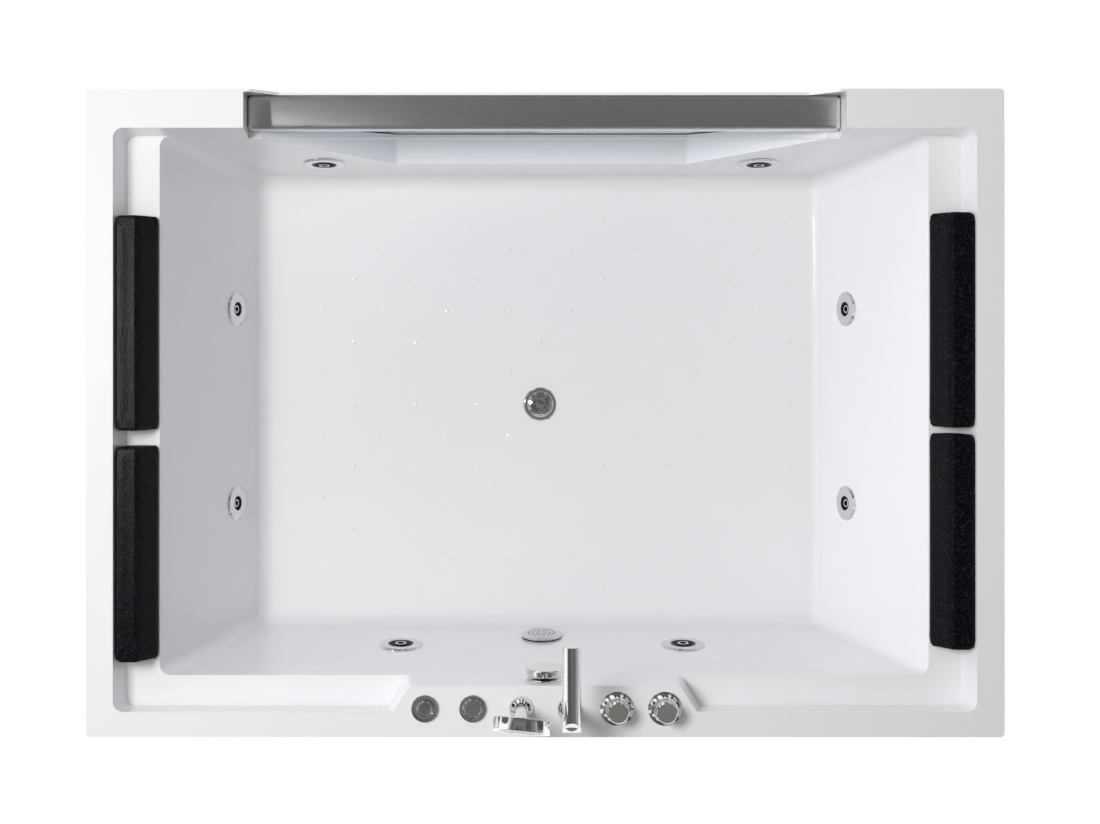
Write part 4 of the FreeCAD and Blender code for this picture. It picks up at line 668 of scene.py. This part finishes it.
add_copy(hand_shower, head, head_place)
head.free()
nozzle = turned([(0, 10.8), (1.3, 10.8), (1.1, 12.3), (0.5, 12.5), (0, 12.5)], 8)
NOZZLE_STEP = 8
for ring in range(1, 6):
    outwards = Matrix.Translation((ring * NOZZLE_STEP * MM, 0, -0.5 * MM))
    for step in range(6 * ring):
        turn = Matrix.Rotation(2 * math.pi * step / (6 * ring), 4, "Z")
        add_copy(hand_shower, nozzle, head_place @ turn @ outwards)
nozzle.free()
spray_white, wire = finish("spray_plate")
wire.noise(60.0, 3.0).blended((0.62, 0.63, 0.65), (0.70, 0.71, 0.73)).into("Base Color")
(0.3 + 0.15 * wire.noise(90.0, 2.0)).into("Roughness")
wire.noise(300.0, 2.0).bump(0.0001)
shower = on_deck(hand_shower, 2, "shower", "hand_shower", "hand_shower")
shower.data.materials.append(spray_white)

# Spout. A round base on the deck carries the riser; the arm above it is a D-shaped bar with a
# crowned top, cut off at a slant behind and hollowed at its mouth.
base_rows = [(10.3, -46), (17, -46), (17, 0), (22.5, 0), (22.5, 3), (21.6, 5.4), (19.4, 8.4),
             (17.2, 10.6), (16, 12), (10.3, 12), (10.3, -46)]
on_deck(rounded(turned(base_rows), 0.5, limit=35.0), 3, "spout_rosette", "tub", "spout_base")
softened("spout", "spout_arm", "spout", "chrome", chrome, 0.0012, limit=35.0)

# Mixer and diverter. A flared skirt sits on the deck over the valve, and a plain round knob with
# a pointer groove turns over the valve's stub.
valves = bmesh.new()
skirt = rounded(turned([(0, -76), (10.3, -76), (10.3, -46), (17, -46), (17, 0), (31.5, 0), (31.5, 1.6),
                        (29.6, 2.5), (27.2, 3.9), (25.0, 5.6), (22.9, 7.6), (21.2, 9.6), (19.9, 12),
                        (7.7, 12), (7.7, 30), (0, 30)], 96), 0.4, limit=35.0)
for index in (4, 5):
    add_copy(valves, skirt, Matrix.Translation((TAP_X[index], TAP_Y, RIM)))
skirt.free()
mark_creases(valves, 50.0)
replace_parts(piece_from(valves, "valve_skirts", "tub", "chrome", chrome), "valve_bodies")
softened("mixer_knob", "mixer", "mixer_knob", "chrome", chrome, 0.0004)
softened("diverter_knob", "diverter", "diverter_knob", "chrome", chrome, 0.0004)

# Headrests. Soft foam in a grained black skin: a sloped top, a long crease and a steep inner
# face. The foam presses its skin out between the ends; below and behind it lies flat.
skin, wire = finish("grained_skin", Specular_IOR_Level=0.07)
pores = wire.cells(300.0, stretch=(1.0, 0.8, 1.0))
wrinkle = wire.noise(230.0, 4.0)
worn = wire.noise(12.0, 4.0)
grain = 0.65 * pores + 0.35 * wrinkle
grain.tint((0.25, (0.001, 0.001, 0.002)), (0.5, (0.003, 0.0035, 0.005)),
           (0.8, (0.018, 0.021, 0.026))).into("Base Color")
(0.34 + 0.20 * grain + 0.1 * worn).into("Roughness")
grain.bump(0.0008)
REST_PLACES = {"headrest_left_window": (1, 0.0), "headrest_left_tap": (1, -0.429),
               "headrest_right_window": (-1, 0.006), "headrest_right_tap": (-1, -0.406)}
SLACK = 0.0015
MOST_SWELL = 0.0012
CUT_STEP = 0.005
LAST_FRAME = 20


def pressed_skin(node):
    """Points of an even skin over the left-hand rest, and how far its foam presses each one out."""
    shape = merged_copy(node)
    mesh = bpy.data.meshes.new("rest")
    shape.to_mesh(mesh)
    shape.free()
    pad = bpy.data.objects.new("rest", mesh)
    bpy.context.scene.collection.objects.link(pad)
    remesh = pad.modifiers.new("even_mesh", "REMESH")
    remesh.mode = "VOXEL"
    remesh.voxel_size = 0.004
    pad.data = bpy.data.meshes.new_from_object(pad.evaluated_get(bpy.context.evaluated_depsgraph_get()))
    pad.modifiers.clear()
    normals = [vert.normal.copy() for vert in pad.data.vertices]
    resting = [index for index, normal in enumerate(normals) if normal.z < -0.6 or normal.x < -0.8]
    pad.vertex_groups.new(name="resting").add(resting, 1.0, "REPLACE")
    for vert, normal in zip(pad.data.vertices, normals):
        vert.co -= SLACK * normal
    filling = pad.modifiers.new("filling", "CLOTH")
    filling.settings.quality = 5
    filling.settings.mass = 0.3
    filling.settings.use_pressure = True
    filling.settings.uniform_pressure_force = 4.0
    filling.settings.effector_weights.gravity = 0.0
    filling.settings.vertex_group_mass = "resting"
    filling.collision_settings.use_collision = False
    filling.point_cache.frame_start = 1
    filling.point_cache.frame_end = LAST_FRAME
    for step in range(1, LAST_FRAME + 1):
        bpy.context.scene.frame_set(step)
    pressed = pad.evaluated_get(bpy.context.evaluated_depsgraph_get())
    starts = [vert.co.copy() for vert in pad.data.vertices]
    moves = [vert.co - start for vert, start in zip(pressed.data.vertices, starts)]
    bpy.context.scene.frame_set(1)
    bpy.data.objects.remove(pad)
    return starts, [move * min(1.0, MOST_SWELL / max(move.length, 1e-6)) for move in moves]


def foam_filled(node):
    """The left-hand rest, its moulded edges kept, cut into a fine grid and swollen with its skin."""
    rest = merged_copy(node)
    low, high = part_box(node)
    for axis in range(3):
        place = low[axis] + CUT_STEP
        while place < high[axis] - 0.001:
            across = [0, 0, 0]
            across[axis] = 1
            everything = rest.verts[:] + rest.edges[:] + rest.faces[:]
            bmesh.ops.bisect_plane(rest, geom=everything, plane_co=Vector(across) * place,
                                   plane_no=across)
            place += CUT_STEP
    starts, moves = pressed_skin(node)
    skin_points = KDTree(len(starts))
    for index, start in enumerate(starts):
        skin_points.insert(start, index)
    skin_points.balance()
    for vert in rest.verts:
        near = skin_points.find_n(vert.co, 12)
        share = [1.0 / (distance + 0.002) for _, _, distance in near]
        move = sum((moves[index] * part for (_, index, _), part in zip(near, share)), Vector())
        vert.co += move / sum(share)
    return rest


rest_shape = foam_filled("headrest_left_window")
for node, (hand, shift) in REST_PLACES.items():
    rest = rest_shape.copy()
    bmesh.ops.scale(rest, vec=(hand, 1, 1), verts=rest.verts)
    bmesh.ops.translate(rest, vec=(0, shift, 0), verts=rest.verts)
    bmesh.ops.recalc_face_normals(rest, faces=rest.faces)
    piece = piece_from(rest, node.replace("headrest", "rest"), "tub", "headrest_skin", skin)
    rounding = piece.modifiers.new("rounding", "BEVEL")
    rounding.limit_method = "ANGLE"
    rounding.angle_limit = math.radians(20)
    rounding.width = 0.0012
    rounding.segments = 2
    rounding.harden_normals = True
    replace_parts(piece, node)
rest_shape.free()

# Stage: a plain pale floor, a soft light from the upper left, a weak one below it, a narrow sheen
# on the left rests, a faint blue glow behind the window, and a pale room whose ceiling and lower
# right are darker, so that the chrome has something to reflect.
floor_shape = bmesh.new()
bmesh.ops.create_grid(floor_shape, x_segments=1, y_segments=1, size=9.0)
studio_white, wire = finish("studio_white", Specular_IOR_Level=0.0, Emission_Strength=0.75,
                            Emission_Color=(1.0, 1.0, 1.0, 1.0))
wire.noise(1.0, 1.0).blended((0.93, 0.93, 0.93), (0.95, 0.95, 0.95)).into("Base Color")
floor_mesh = bpy.data.meshes.new("studio_floor")
floor_shape.to_mesh(floor_mesh)
floor_shape.free()
floor_mesh.materials.append(studio_white)
floor = bpy.data.objects.new("studio_floor", floor_mesh)
bpy.context.scene.collection.objects.link(floor)


def softbox(name, place, size, power, aim=(0, 0, 0.5)):
    """Square area light, aimed at the tub's middle if no other aim is given, unseen itself."""
    data = bpy.data.lights.new(name, "AREA")
    data.shape = "SQUARE"
    data.size = size
    data.energy = power
    light = bpy.data.objects.new(name, data)
    light.location = place
    light.rotation_euler = (Vector(aim) - Vector(place)).to_track_quat("-Z", "Y").to_euler()
    light.visible_camera = False
    bpy.context.scene.collection.objects.link(light)
    return light


key_light = softbox("key", (-1.85, 0.72, 4.22), 1.3, 113)
key_light.visible_glossy = False
fill_light = softbox("fill", (-1.2, -0.6, 3.6), 2.4, 13)
fill_light.visible_glossy = False
sheen_light = softbox("sheen", (-2.7, 0.45, 3.2), 0.5, 5.5, aim=(-0.86, 0.13, 0.65))
sheen_light.data.spread = math.radians(20)
sheen_light.visible_diffuse = False
window_light = softbox("window_glow", (0.0, 0.80, 0.44), 0.5, 0.5)
window_light.data.color = (0.55, 0.77, 1.0)
window_light.visible_glossy = False
world = bpy.data.worlds.new("studio")
bpy.context.scene.world = world
world.use_nodes = True
room = Wire(world.node_tree)
way = room.node("ShaderNodeTexCoord", output="Generated")
rise = room.node("ShaderNodeSeparateXYZ", {0: way}, output=2)
panels = room.node("ShaderNodeTexNoise", {"Vector": room.node("ShaderNodeMapping", {
    "Vector": way, "Scale": (1.0, 1.0, 0.25)}), "Scale": 2.6, "Detail": 0.0}).between(0.48, 0.57)
walls = panels.blended((0.12, 0.12, 0.13), (1.15, 1.17, 1.20))
ceiling = rise.between(0.42, 0.72)
patches = room.node("ShaderNodeTexNoise", {"Vector": way, "Scale": 5.0, "Detail": 1.0})
to_right = room.node("ShaderNodeSeparateXYZ", {0: way}, output=0)
to_window = room.node("ShaderNodeSeparateXYZ", {0: way}, output=1)
far_side = (to_right - 0.5 * to_window).between(-0.6, 0.6)
walls = far_side.blended(walls, panels.blended((0.08, 0.08, 0.09), (0.42, 0.43, 0.45)))
dim = patches.between(0.35, 0.65).blended((0.09, 0.09, 0.09), (0.195, 0.195, 0.185))
light = ceiling.blended(walls, dim)
world.node_tree.links.new(light.socket, world.node_tree.nodes["Background"].inputs["Color"])
world.node_tree.nodes["Background"].inputs["Strength"].default_value = 1.0
bpy.context.scene.view_settings.view_transform = "Standard"
